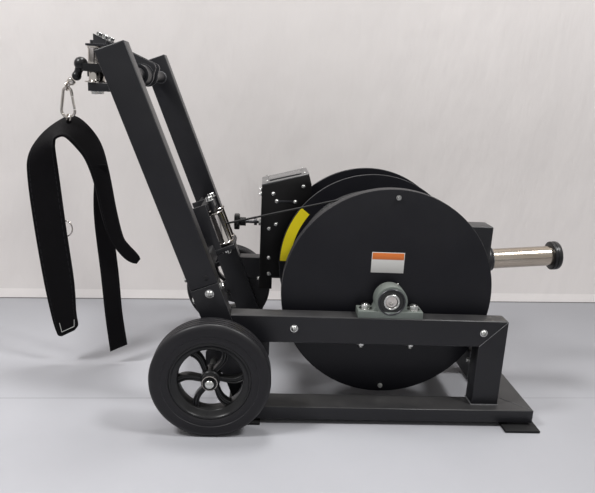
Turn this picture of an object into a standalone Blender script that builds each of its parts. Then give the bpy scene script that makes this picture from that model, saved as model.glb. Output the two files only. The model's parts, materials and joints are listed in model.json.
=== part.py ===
"""Sprint training machine: rope drum with a magnetic brake on a wheeled frame.

Lengths are written in millimetres and turned into metres when a mesh is made.
+X points to the weight horn, -X to the athlete, +Z is up, -Y is the near side.
"""
import math

import bmesh
import bpy
from mathutils import Matrix, Vector

MM = 0.001

# clearances
GAP = 0.3            # between pieces that touch
RUN = 0.12           # radial, between a turning piece and its axle
BITE = 1.0           # how far welded pieces reach into each other

# whole object
SHIFT_X = 9.2        # moves the model so that its box is centred on X = 0

# frame
HALF_W = 270.0       # half the width over the base side tubes
BASE_FRONT = -169.0
BASE_REAR = 505.0
BASE_LOW = 11.0
BASE_HIGH = 41.0
BASE_TUBE = 60.0
BASE_WALL = 2.5
TUBE_WIDE = 60.0
TUBE_DEEP = 40.0
TUBE_WALL = 3.0
TUBE_OUT = 246.0     # outer face of posts, beams and masts, from the middle plane
POST_REAR = 431.0
BEAM_TOP = 240.0
GUSSET_T = 8.0

# feet
FOOT_LONG = 78.0
FOOT_OUT = 24.0      # rear pads, past the side tubes
FOOT_OUT_FRONT = 7.0 # front pads stay clear of the tyres
FOOT_DEEP = 80.0
FOOT_T = 6.0

# masts: s runs up along the mast, d across it towards the rear
MAST_TILT = math.radians(21.0)
MAST_X = -125.9      # middle line of the mast at the base's top
MAST_SEAM = 276.0
MAST_TOP = 778.0

# drum
DRUM_X = 171.0
BLOCK_RISE = 36.5
DRUM_Z = BEAM_TOP + GAP + BLOCK_RISE
DISC_R = 234.0
FLY_R = 236.0
SHAFT_R = 12.5
COLLAR_R = 17.3
NEAR_DISC_Y = -194.0
NEAR_RIM = 25.0
MID_DISC_Y = 36.5
DISC_T = 6.0
FLY_Y = 148.0
FLY_T = 8.0
ROPE_R = 2.5
WIND_R = 200.0       # middle of the rope in its outer layer
LEAVE_R = WIND_R + 2 * ROPE_R + GAP  # the rope leaves from on top of that layer
WIND_LOOPS = 16
WIND_PITCH = 5.7
WIND_POINTS = 24       # points in one loop
DISC_STEPS = 48
ROPE_Y = -70.0       # where the rope leaves the drum

# lower guide between the masts
ROLLER_D = 42.0
ROLLER_Y = 25.0
ROLLER_R = 18.5
ROLLER_LOW = 304.0
ROLLER_HIGH = 383.0
ROPE_S = 345.0       # height along the mast where the rope enters
GUIDE_R = 20.0       # middle of the rope round the guide pulley
ROPE_D = -22.0       # where the rope runs up between the masts

# head
HUB_S = 727.0
HUB_TUBE_R = 14.0
HEAD_PULLEY_R = 18.5
HEAD_SPLICE = 716.0   # up the mast, where the rope passes on to the tilting head
EXIT_Z = 733.0
HEAD_ROLLER_X = -494.0
HEAD_ROLLER_R = 11.0
BALL_R = 15.3
FORK_TOP = (-488.0, 800.0)     # front and rear ends of the fork plates' sloping top
FORK_HEEL = (-360.0, 745.0)
NUT_T = 8.5

# hook at the rope's end
HOOK_X = -562.0
HOOK_BAR = 3.3
HOOK_TOP = 684.7       # middle of the bar at the hook's two ends
HOOK_LOW = 618.3
HOOK_SMALL = 9.0       # radius of the upper bend
HOOK_LARGE = 15.0      # radius of the lower bend
NOSE_LOW = 0.72        # how far up its side the hook's nose ends

# wheels
WHEEL_X = -204.0
WHEEL_R = 124.0
WHEEL_LIFT = 0.5
WHEEL_IN = 278.5
WHEEL_W = 50.0
RIM_R = 84.0
WHEEL_STEPS = 32
AXLE_R = 7.5

# brake box
BOX_FRONT = -113.0
BOX_REAR = 12.0
BOX_NEAR = 62.0
BOX_FAR = 186.0
PLATE_T = 4.0
SCREW_Z = 355.0
SCREW_R = 4.0

# weight horn
HORN_TILT = math.radians(5.0)
HORN_R = 25.0
HORN_Z = 313.0
PED_FRONT = 397.0
PED_REAR = 457.0
PED_TOP = 402.0

SIDES = (("near", -1.0), ("far", 1.0))


def clear_scene():
    for obj in list(bpy.data.objects):
        bpy.data.objects.remove(obj, do_unlink=True)


def make_collection(name):
    coll = bpy.data.collections.new(name)
    bpy.context.scene.collection.children.link(coll)
    return coll


def make_material(name, colour, metallic, roughness):
    mat = bpy.data.materials.new(name)
    mat.use_nodes = True
    shader = mat.node_tree.nodes["Principled BSDF"]
    shader.inputs["Base Color"].default_value = (*colour, 1.0)
    shader.inputs["Metallic"].default_value = metallic
    shader.inputs["Roughness"].default_value = roughness
    mat.diffuse_color = (*colour, 1.0)
    return mat


def finish(name, bm, mat, coll=None):
    """Turn a bmesh in millimetres into a named object in metres."""
    bmesh.ops.recalc_face_normals(bm, faces=bm.faces)
    bmesh.ops.scale(bm, vec=(MM, MM, MM), verts=bm.verts)
    mesh = bpy.data.meshes.new(name)
    bm.to_mesh(mesh)
    bm.free()
    obj = bpy.data.objects.new(name, mesh)
    (coll or PARTS).objects.link(obj)
    if mat:
        mesh.materials.append(mat)
    if coll is CUTTERS:
        obj.hide_render = True
        obj.display_type = "WIRE"
    return obj


def box(name, low, high, mat, coll=None):
    bm = bmesh.new()
    bmesh.ops.create_cube(bm, size=1.0)
    size = [b - a for a, b in zip(low, high)]
    mid = [(a + b) / 2 for a, b in zip(low, high)]
    bmesh.ops.scale(bm, vec=size, verts=bm.verts)
    bmesh.ops.translate(bm, vec=mid, verts=bm.verts)
    return finish(name, bm, mat, coll)


def prism(name, outline, low, high, mat, axis="Y", coll=None):
    """Extrude an outline along Y (points are x, z) or along Z (points are x, y)."""
    bm = bmesh.new()
    if axis == "Y":
        verts = [bm.verts.new((a, low, b)) for a, b in outline]
        step = (0.0, high - low, 0.0)
    else:
        verts = [bm.verts.new((a, b, low)) for a, b in outline]
        step = (0.0, 0.0, high - low)
    face = bm.faces.new(verts)
    made = bmesh.ops.extrude_face_region(bm, geom=[face])
    moved = [v for v in made["geom"] if isinstance(v, bmesh.types.BMVert)]
    bmesh.ops.translate(bm, vec=step, verts=moved)
    return finish(name, bm, mat, coll)


def lathe(name, profile, origin, axis, mat, steps=48, coll=None, lobes=(0, 0.0)):
    """Turn a profile of (radius, height) points about an axis through origin.

    A profile that starts and ends on the axis is capped there; any other one is a ring.
    Lobes are (count, depth): they make the outline wavy for a star knob.
    """
    bm = bmesh.new()
    rings = []
    for radius, height in profile:
        if radius < 1e-6:
            rings.append([bm.verts.new((0.0, 0.0, height))])
            continue
        ring = []
        for i in range(steps):
            turn = 2 * math.pi * i / steps
            r = radius + (lobes[1] * math.cos(lobes[0] * turn) if radius > 2 * lobes[1] + 10 else 0.0)
            ring.append(bm.verts.new((r * math.cos(turn), r * math.sin(turn), height)))
        rings.append(ring)
    closed = len(rings[0]) > 1
    count = len(rings) if closed else len(rings) - 1
    for k in range(count):
        a = rings[k]
        b = rings[(k + 1) % len(rings)]
        for i in range(steps):
            j = (i + 1) % steps
            if len(a) == 1:
                bm.faces.new((a[0], b[j], b[i]))
            elif len(b) == 1:
                bm.faces.new((a[i], a[j], b[0]))
            else:
                bm.faces.new((a[i], a[j], b[j], b[i]))
    turn = Vector((0, 0, 1)).rotation_difference(Vector(axis).normalized()).to_matrix().to_4x4()
    bmesh.ops.transform(bm, matrix=Matrix.Translation(origin) @ turn, verts=bm.verts)
    return finish(name, bm, mat, coll)


def cylinder(name, start, end, radius, mat, steps=32, coll=None):
    length = (Vector(end) - Vector(start)).length
    profile = [(0.0, 0.0), (radius, 0.0), (radius, length), (0.0, length)]
    return lathe(name, profile, start, Vector(end) - Vector(start), mat, steps, coll)


def ball(name, centre, radius, mat, coll=None, steps=16):
    rows = 8
    profile = [(radius * math.sin(math.pi * k / rows), -radius * math.cos(math.pi * k / rows))
               for k in range(rows + 1)]
    profile[0] = (0.0, -radius)
    profile[-1] = (0.0, radius)
    return lathe(name, profile, centre, (0, 0, 1), mat, steps, coll)


def rod(name, points, radius, mat, closed=False, resolution=2, coll=None):
    """A round bar or cord along a line of points."""
    curve = bpy.data.curves.new(name, "CURVE")
    curve.dimensions = "3D"
    spline = curve.splines.new("POLY")
    spline.points.add(len(points) - 1)
    for point, place in zip(spline.points, points):
        point.co = (place[0] * MM, place[1] * MM, place[2] * MM, 1.0)
    spline.use_cyclic_u = closed
    curve.bevel_depth = radius * MM
    curve.bevel_resolution = resolution
    curve.use_fill_caps = not closed
    if mat:
        curve.materials.append(mat)
    obj = bpy.data.objects.new(name, curve)
    (coll or PARTS).objects.link(obj)
    return obj


def solid_rod(name, points, radius, mat, closed=False, resolution=2, coll=None):
    """The same bar as a mesh, for use in a boolean."""
    raw = rod(name + "_path", points, radius, mat, closed, resolution, coll)
    bpy.context.view_layer.update()
    mesh = bpy.data.meshes.new_from_object(raw.evaluated_get(bpy.context.evaluated_depsgraph_get()))
    curve = raw.data
    bpy.data.objects.remove(raw)
    bpy.data.curves.remove(curve)
    bm = bmesh.new()
    bm.from_mesh(mesh)
    bpy.data.meshes.remove(mesh)
    bmesh.ops.remove_doubles(bm, verts=bm.verts, dist=1e-7)
    bmesh.ops.scale(bm, vec=(1 / MM,) * 3, verts=bm.verts)
    return finish(name, bm, mat, coll)


def combine(target, tools, how):
    for tool in tools:
        mod = target.modifiers.new(how.lower() + "_" + tool.name, "BOOLEAN")
        mod.operation = how
        mod.solver = "EXACT"
        mod.object = tool
    return target


def cut(target, *tools):
    return combine(target, tools, "DIFFERENCE")


def weld(target, *tools):
    return combine(target, tools, "UNION")


def bevel(obj, width=1.5, segments=1):
    mod = obj.modifiers.new("edges", "BEVEL")
    mod.width = width * MM
    mod.segments = segments
    mod.limit_method = "ANGLE"
    mod.angle_limit = math.radians(40)
    return obj


def smooth_line(points, count):
    """Catmull-Rom points through a short list of stations."""
    out = []
    last = len(points) - 1
    for k in range(last):
        p0 = points[max(k - 1, 0)]
        p1 = points[k]
        p2 = points[k + 1]
        p3 = points[min(k + 2, last)]
        for i in range(count):
            t = i / count
            out.append(tuple(
                0.5 * (2 * b + (c - a) * t + (2 * a - 5 * b + 4 * c - d) * t * t
                       + (3 * b - a - 3 * c + d) * t ** 3)
                for a, b, c, d in zip(p0, p1, p2, p3)))
    out.append(tuple(points[-1]))
    return out


def ribbon(name, stations, thick, mat, count=3, coll=None):
    """A webbing band. A station is one edge (x, y, z) followed by the other edge (x, y, z)."""
    rows = smooth_line(stations, count)
    left = [Vector(r[:3]) for r in rows]
    right = [Vector(r[3:]) for r in rows]
    bm = bmesh.new()
    rings = []
    for k in range(len(rows)):
        a = max(k - 1, 0)
        b = min(k + 1, len(rows) - 1)
        along = (left[b] + right[b] - left[a] - right[a]).normalized()
        across = right[k] - left[k]
        normal = along.cross(across.normalized()).normalized() * (thick / 2)
        soft = across.normalized() * (thick * 0.4)
        ring = [left[k], left[k] + soft + normal, right[k] - soft + normal,
                right[k], right[k] - soft - normal, left[k] + soft - normal]
        rings.append([bm.verts.new(p) for p in ring])
    for a, b in zip(rings, rings[1:]):
        for i in range(6):
            j = (i + 1) % 6
            bm.faces.new((a[i], a[j], b[j], b[i]))
    bm.faces.new(rings[0])
    bm.faces.new(list(reversed(rings[-1])))
    return finish(name, bm, mat, coll)


def mast_point(s, d):
    """Place in the XZ plane of a point s up the mast and d behind its middle line."""
    return (MAST_X - s * math.sin(MAST_TILT) + d * math.cos(MAST_TILT),
            BASE_HIGH + s * math.cos(MAST_TILT) + d * math.sin(MAST_TILT))


def mast_at_z(z, d):
    s = (z - BASE_HIGH - d * math.sin(MAST_TILT)) / math.cos(MAST_TILT)
    return mast_point(s, d)


def mast_3d(s, d, y):
    x, z = mast_point(s, d)
    return (x, y, z)


def mast_box(name, s0, s1, d0, d1, y0, y1, mat, coll=None):
    outline = [mast_point(s0, d0), mast_point(s0, d1), mast_point(s1, d1), mast_point(s1, d0)]
    return prism(name, outline, y0, y1, mat, coll=coll)


def span(side, inner, outer):
    """Low and high Y of something between two distances from the middle plane."""
    return tuple(sorted((side * inner, side * outer)))


clear_scene()
PARTS = make_collection("sprint_training_machine")
CUTTERS = make_collection("cutters")

COAT = make_material("frame_coat", (0.030, 0.030, 0.034), 0.0, 0.42)
DISC_COAT = make_material("disc_coat", (0.032, 0.032, 0.036), 0.0, 0.38)
CHROME = make_material("chrome", (0.80, 0.80, 0.82), 1.0, 0.12)
STEEL = make_material("bright_steel", (0.60, 0.60, 0.62), 1.0, 0.30)
CAST = make_material("cast_green", (0.16, 0.20, 0.18), 0.0, 0.55)
BLACK = make_material("black_plastic", (0.020, 0.020, 0.022), 0.0, 0.40)
TYRE = make_material("tyre_rubber", (0.028, 0.028, 0.030), 0.0, 0.75)
RUBBER = make_material("foot_rubber", (0.025, 0.025, 0.026), 0.0, 0.70)
ROPE = make_material("black_rope", (0.018, 0.018, 0.020), 0.0, 0.80)
WEB = make_material("belt_webbing", (0.022, 0.020, 0.024), 0.0, 0.85)
PANEL = make_material("panel_plastic", (0.33, 0.34, 0.36), 0.0, 0.30)
MAGNET = make_material("magnet_steel", (0.45, 0.45, 0.47), 1.0, 0.40)

TUBE_IN = TUBE_OUT - TUBE_DEEP


def base_frame():
    inner = HALF_W - BASE_TUBE
    front_in = BASE_FRONT + BASE_TUBE
    rear_in = BASE_REAR - BASE_TUBE
    hollow_z = (BASE_LOW + BASE_WALL, BASE_HIGH - BASE_WALL)
    for label, side in SIDES:
        outline = [(BASE_FRONT + GAP, side * HALF_W), (BASE_REAR - GAP, side * HALF_W),
                   (rear_in - GAP, side * inner), (front_in + GAP, side * inner)]
        tube = prism("base_side_" + label, outline, BASE_LOW, BASE_HIGH, COAT, "Z")
        y0, y1 = span(side, inner + BASE_WALL, HALF_W - BASE_WALL)
        hollow = box("hollow_base_side_" + label, (BASE_FRONT - 40, y0, hollow_z[0]),
                     (BASE_REAR + 40, y1, hollow_z[1]), None, CUTTERS)
        bevel(cut(tube, hollow))
    for label, outer, inward in (("front", BASE_FRONT, 1.0), ("rear", BASE_REAR, -1.0)):
        edge = outer + inward * BASE_TUBE
        outline = [(outer, -HALF_W + GAP), (outer, HALF_W - GAP),
                   (edge, inner - GAP), (edge, -inner + GAP)]
        tube = prism("base_%s_tube" % label, outline, BASE_LOW, BASE_HIGH, COAT, "Z")
        x0, x1 = sorted((outer + inward * BASE_WALL, edge - inward * BASE_WALL))
        hollow = box("hollow_base_" + label, (x0, -HALF_W - 40, hollow_z[0]),
                     (x1, HALF_W + 40, hollow_z[1]), None, CUTTERS)
        bevel(cut(tube, hollow))
        middle = (outer + edge) / 2
        reach = HALF_W + (FOOT_OUT_FRONT if label == "front" else FOOT_OUT)
        for side_label, side in SIDES:
            y0, y1 = span(side, reach - FOOT_DEEP, reach)
            pad = box("foot_pad_%s_%s" % (label, side_label), (middle - FOOT_LONG / 2, y0, 0.0),
                      (middle + FOOT_LONG / 2, y1, FOOT_T), RUBBER)
            y0, y1 = span(side, HALF_W - BASE_TUBE + 8, HALF_W - 4)
            boss = box("boss_%s_%s" % (label, side_label), (middle - 24, y0, FOOT_T - BITE),
                       (middle + 24, y1, BASE_LOW - GAP), None, CUTTERS)
            bevel(weld(pad, boss), 0.8, 1)


def side_frames():
    half = TUBE_WIDE / 2
    beam_low = BEAM_TOP - TUBE_WIDE
    post_front = POST_REAR - TUBE_WIDE
    for label, side in SIDES:
        y0, y1 = span(side, TUBE_IN, TUBE_OUT)
        h0, h1 = span(side, TUBE_IN + TUBE_WALL, TUBE_OUT - TUBE_WALL)
        g0, g1 = span(side, (TUBE_IN + TUBE_OUT - GUSSET_T) / 2, (TUBE_IN + TUBE_OUT + GUSSET_T) / 2)

        top_left = mast_at_z(BEAM_TOP, half + GAP)
        low_left = mast_at_z(beam_low, half + GAP)
        beam = prism("upper_beam_" + label, [top_left, (POST_REAR - GAP, BEAM_TOP),
                                             (post_front - GAP, beam_low), low_left], y0, y1, COAT)
        hollow = box("hollow_beam_" + label, (-300.0, h0, beam_low + TUBE_WALL),
                     (600.0, h1, BEAM_TOP - TUBE_WALL), None, CUTTERS)
        bevel(cut(beam, hollow))

        post = prism("rear_post_" + label, [(POST_REAR, BEAM_TOP - GAP), (post_front, beam_low - GAP),
                                            (post_front, BASE_HIGH + GAP), (POST_REAR, BASE_HIGH + GAP)],
                     y0, y1, COAT)
        hollow = box("hollow_post_" + label, (post_front + TUBE_WALL, h0, 0.0),
                     (POST_REAR - TUBE_WALL, h1, 400.0), None, CUTTERS)
        bevel(cut(post, hollow))

        floor = BASE_HIGH + GAP
        foot = prism("mast_foot_" + label,
                     [mast_at_z(floor, -half), mast_at_z(floor, half),
                      mast_point(MAST_SEAM - GAP, half), mast_point(MAST_SEAM - GAP, -half)], y0, y1, COAT)
        hollow = mast_box("hollow_foot_" + label, -80.0, MAST_SEAM + 40, -half + TUBE_WALL,
                          half - TUBE_WALL, h0, h1, None, CUTTERS)
        gusset = prism("gusset_" + label,
                       [mast_at_z(beam_low - GAP, half - BITE), (-85.0, beam_low - GAP), (-85.0, 145.0),
                        mast_at_z(62.0, half - BITE)], g0, g1, None, coll=CUTTERS)
        bracket = prism("axle_bracket_" + label,
                        [mast_at_z(168.0, -half + BITE), (WHEEL_X - 18, 146.0), (WHEEL_X - 18, 106.0),
                         mast_at_z(96.0, -half + BITE)], g0, g1, None, coll=CUTTERS)
        axle_z = WHEEL_R + WHEEL_LIFT
        hole = cylinder("axle_hole_" + label, (WHEEL_X, -400.0, axle_z), (WHEEL_X, 400.0, axle_z),
                        AXLE_R + GAP, None, coll=CUTTERS)
        cut(foot, hollow)
        weld(foot, gusset, bracket)
        cut(foot, hole)

        mast = mast_box("mast_upper_" + label, MAST_SEAM + GAP, MAST_TOP, -half, half, y0, y1, COAT)
        hollow = mast_box("hollow_mast_" + label, MAST_SEAM - 40, MAST_TOP - 4, -half + TUBE_WALL,
                          half - TUBE_WALL, h0, h1, None, CUTTERS)
        bevel(cut(mast, hollow))

    cross = box("rear_cross_tube", (post_front, -TUBE_IN + GAP, 83.0), (396.7, TUBE_IN - GAP, 150.0), COAT)
    hollow = box("hollow_cross", (post_front + 2.5, -300.0, 85.5), (394.2, 300.0, 147.5), None, CUTTERS)
    bevel(cut(cross, hollow))


def weight_horn():
    half = 30.0
    ped = box("horn_pedestal", (PED_FRONT, -half, 60.0), (PED_REAR, half, PED_TOP), COAT)
    hollow = box("hollow_pedestal", (PED_FRONT + TUBE_WALL, -half + TUBE_WALL, 0.0),
                 (PED_REAR - TUBE_WALL, half - TUBE_WALL, PED_TOP - 5), None, CUTTERS)
    lean = Vector((math.cos(HORN_TILT), 0.0, math.sin(HORN_TILT)))
    root = Vector((PED_REAR, 0.0, HORN_Z))
    collar = lathe("horn_collar", [(0.0, -2.0), (34.0, -2.0), (34.0, 6.0), (29.0, 12.0), (0.0, 12.0)],
                   root, lean, None, 24, CUTTERS)
    bevel(cut(ped, hollow), 2.5)
    weld(ped, collar)
    lathe("weight_horn", [(HORN_R - 4, 12 + GAP), (HORN_R, 12 + GAP), (HORN_R, 166.0), (HORN_R - 4, 166.0)],
          root, lean, CHROME, 32)
    lathe("horn_end_cap", [(0.0, 166 + GAP), (33.5, 166 + GAP), (36.0, 168.5), (36.0, 182.0),
                           (32.5, 187.0), (0.0, 188.0)], root, lean, BLACK, 32)


def lower_guide():
    """Two cross tubes between the masts, welded to the cage that holds rollers and pulley."""
    reach = TUBE_IN - GAP
    cage = mast_box("roller_bracket", 283.0, 313.0, -15.0, 15.0, -reach, reach, COAT)
    tools = []
    for label, side in SIDES:
        y0, y1 = span(side, 44.0, 49.0)
        tools.append(mast_box("cheek_" + label, 285.0, 410.0, -13.0, 31.0, y0, y1, None, CUTTERS))
        y0, y1 = span(side, 48.0, reach)
        tools.append(mast_box("back_plate_" + label, 302.0, 396.0, -12.0, -6.0, y0, y1, None, CUTTERS))
    tools.append(mast_box("lug_low", 289.0, 298.0, 13.0, 62.0, -50.0, 50.0, None, CUTTERS))
    tools.append(mast_box("lug_high", 394.0, 409.0, 20.0, 34.0, -46.0, 46.0, None, CUTTERS))
    tools.append(mast_box("lug_tongue", 393.0, 408.0, 32.0, 47.0, -31.0, 31.0, None, CUTTERS))
    pulley = guide_centre()
    tools.append(cylinder("guide_axle", (pulley[0], -46.0, pulley[1]), (pulley[0], 46.0, pulley[1]),
                          5.0, None, coll=CUTTERS))
    up = Vector(mast_3d(1.0, 0.0, 0.0)) - Vector(mast_3d(0.0, 0.0, 0.0))
    for label, side in SIDES:
        y = side * ROLLER_Y
        tools.append(cylinder("roller_axle_" + label, mast_3d(291.0, ROLLER_D, y),
                              mast_3d(396.0, ROLLER_D, y), 5.0, None, coll=CUTTERS))
        tools.append(cylinder("roller_boss_" + label, mast_3d(385.0, ROLLER_D, y),
                              mast_3d(413.0, ROLLER_D, y), 6.6, None, 20, CUTTERS))
        for end, s in (("low", 280.0), ("high", 412.0)):
            tools.append(lathe("roller_nut_%s_%s" % (end, label),
                               [(0.0, 0.0), (8.5, 0.0), (8.5, 10.0), (0.0, 10.0)],
                               mast_3d(s, ROLLER_D, y), up, None, 6, CUTTERS))
        low = ROLLER_LOW
        high = ROLLER_HIGH
        profile = [(5.0 + RUN, low), (21.0, low), (21.0, low + 3), (ROLLER_R, low + 5),
                   (ROLLER_R, high - 5), (21.0, high - 3), (21.0, high), (5.0 + RUN, high)]
        lathe("lower_roller_" + label, profile, mast_3d(0.0, ROLLER_D, y), up, CHROME, 24)
    weld(cage, *tools)
    groove = GUIDE_R - ROPE_R - GAP
    lathe("guide_pulley", [(5.0 + RUN, -7.0), (24.0, -7.0), (24.0, -5.5), (groove, -3.0), (groove, 3.0),
                           (24.0, 5.5), (24.0, 7.0), (5.0 + RUN, 7.0)],
          (pulley[0], 0.0, pulley[1]), (0, 1, 0), BLACK, 28)


def rope_slope():
    """Angle of the rope between the drum and the lower guide."""
    x, z = mast_point(ROPE_S, ROLLER_D)
    away = math.hypot(DRUM_X - x, DRUM_Z - z)
    return math.atan2(DRUM_Z - z, DRUM_X - x) + math.asin(LEAVE_R / away)


def guide_centre():
    """Centre of the guide pulley: above the incoming rope, beside the rising one."""
    turn = rope_slope()
    x, z = mast_point(ROPE_S, ROLLER_D)
    normal = (-math.sin(turn), math.cos(turn))
    across = (math.cos(MAST_TILT), math.sin(MAST_TILT))
    start = (x - MAST_X) * across[0] + (z - BASE_HIGH) * across[1]
    lift = GUIDE_R * (normal[0] * across[0] + normal[1] * across[1])
    step = math.cos(turn) * across[0] + math.sin(turn) * across[1]
    along = (ROPE_D + GUIDE_R - start - lift) / step
    return (x + along * math.cos(turn) + GUIDE_R * normal[0],
            z + along * math.sin(turn) + GUIDE_R * normal[1])


def head_pulley_centre():
    d = ROPE_D - HEAD_PULLEY_R
    return mast_at_z(EXIT_Z - HEAD_PULLEY_R, d)


def arc(centre, radius, first, last, count, y=0.0):
    out = []
    for k in range(count + 1):
        turn = first + (last - first) * k / count
        out.append((centre[0] + radius * math.cos(turn), y, centre[1] + radius * math.sin(turn)))
    return out


def ropes():
    turn = rope_slope()
    leave = turn + math.pi / 2
    touch = (DRUM_X + LEAVE_R * math.cos(leave), DRUM_Z + LEAVE_R * math.sin(leave))
    x, z = mast_point(ROPE_S, ROLLER_D)
    entry = (x + 14 * math.cos(turn), 0.0, z + 14 * math.sin(turn))
    path = [(touch[0] - 2 * math.cos(turn), ROPE_Y, touch[1] - 2 * math.sin(turn)), entry]
    centre = guide_centre()
    path += arc(centre, GUIDE_R, turn - math.pi / 2, MAST_TILT - math.pi, 10)
    path.append(mast_3d(HEAD_SPLICE, ROPE_D, 0.0))
    rod("rope_run", path, ROPE_R, ROPE)

    head = head_pulley_centre()
    path = [mast_3d(HEAD_SPLICE + GAP, ROPE_D, 0.0)]
    path += arc(head, HEAD_PULLEY_R, MAST_TILT, math.pi / 2, 8)
    rod("rope_head", path, ROPE_R, ROPE)
    rod("rope_tip", [(head[0] - GAP, 0.0, EXIT_Z), (-513.3, 0.0, EXIT_Z)], ROPE_R, ROPE)

    winding = []
    total = WIND_LOOPS * WIND_POINTS
    for k in range(total + 1):
        angle = leave - 2 * math.pi * k / WIND_POINTS
        y = ROPE_Y + WIND_PITCH * (k / WIND_POINTS - WIND_LOOPS / 2)
        winding.append((DRUM_X + WIND_R * math.cos(angle), y, DRUM_Z + WIND_R * math.sin(angle)))
    rod("rope_wound", winding, ROPE_R, ROPE, resolution=1)
    print("rope layer: least gap %.2f mm" % (WIND_PITCH - 2 * ROPE_R))


def drum():
    origin = (DRUM_X, 0.0, DRUM_Z)
    y_axis = (0, 1, 0)
    bore = SHAFT_R + GAP
    end = TUBE_IN + 34.0
    ring = (TUBE_IN + 3, TUBE_OUT - 3)
    lathe("drum_shaft", [(0.0, -end), (SHAFT_R - 1.5, -end), (SHAFT_R, -end + 1.5), (SHAFT_R, -ring[1]),
                         (COLLAR_R, -ring[1]), (COLLAR_R, -ring[0]), (SHAFT_R, -ring[0]),
                         (SHAFT_R, ring[0]), (COLLAR_R, ring[0]), (COLLAR_R, ring[1]),
                         (SHAFT_R, ring[1]), (SHAFT_R, end - 1.5), (SHAFT_R - 1.5, end), (0.0, end)]
          if end > ring[1] else
          [(0.0, -ring[1]), (COLLAR_R, -ring[1]), (COLLAR_R, -ring[0]), (SHAFT_R, -ring[0]),
           (SHAFT_R, ring[0]), (COLLAR_R, ring[0]), (COLLAR_R, ring[1]), (0.0, ring[1])],
          origin, y_axis, STEEL, 28)
    near = NEAR_DISC_Y
    lathe("drum_flange_near", [(bore, near), (DISC_R - 1, near), (DISC_R, near + 1), (DISC_R, near + NEAR_RIM),
                               (DISC_R - 5, near + NEAR_RIM), (DISC_R - 5, near + 5), (bore, near + 5)],
          origin, y_axis, DISC_COAT, DISC_STEPS)
    mid = MID_DISC_Y
    lathe("drum_flange_mid", [(bore, mid), (DISC_R, mid), (DISC_R, mid + DISC_T), (bore, mid + DISC_T)],
          origin, y_axis, DISC_COAT, DISC_STEPS)
    lathe("flywheel", [(bore, FLY_Y - 14), (42.0, FLY_Y - 14), (42.0, FLY_Y), (FLY_R, FLY_Y),
                       (FLY_R, FLY_Y + FLY_T), (bore, FLY_Y + FLY_T)], origin, y_axis, STEEL, DISC_STEPS)
    core = WIND_R * math.cos(math.pi / WIND_POINTS) - ROPE_R - GAP
    low = near + 5 + GAP
    high = mid - GAP
    shoulder = near + NEAR_RIM + GAP
    middle = (low + high) / 2
    lathe("spool_core", [(bore, low), (30.0, low), (30.0, middle - 4), (core - 12, middle - 4),
                         (core - 12, shoulder), (core, shoulder), (core, high), (core - 12, high),
                         (core - 12, middle + 4), (30.0, middle + 4), (30.0, high), (bore, high)],
          origin, y_axis, BLACK, WIND_POINTS * 2)

    for label, side in SIDES:
        y0, y1 = span(side, TUBE_IN + 1, TUBE_OUT - 1)
        base_z = BEAM_TOP + GAP
        block = box("pillow_block_" + label, (DRUM_X - 70, y0, base_z), (DRUM_X + 70, y1, base_z + 15), CAST)
        shell = cylinder("shell_" + label, (DRUM_X, y0 + 1.5, DRUM_Z), (DRUM_X, y1 - 1.5, DRUM_Z), 34.5,
                         None, 28, CUTTERS)
        trim = box("shell_trim_" + label, (DRUM_X - 60, y0 - 5, base_z - 30), (DRUM_X + 60, y1 + 5, base_z),
                   None, CUTTERS)
        web = prism("web_" + label, [(DRUM_X - 42, base_z + 5), (DRUM_X + 42, base_z + 5),
                                     (DRUM_X + 30, base_z + 34), (DRUM_X - 30, base_z + 34)],
                    y0 + 4, y1 - 4, None, coll=CUTTERS)
        hole = cylinder("bore_" + label, (DRUM_X, y0 - 10, DRUM_Z), (DRUM_X, y1 + 10, DRUM_Z),
                        COLLAR_R + RUN, None, 28, CUTTERS)
        weld(block, shell, web)
        cut(block, trim, hole)


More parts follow.
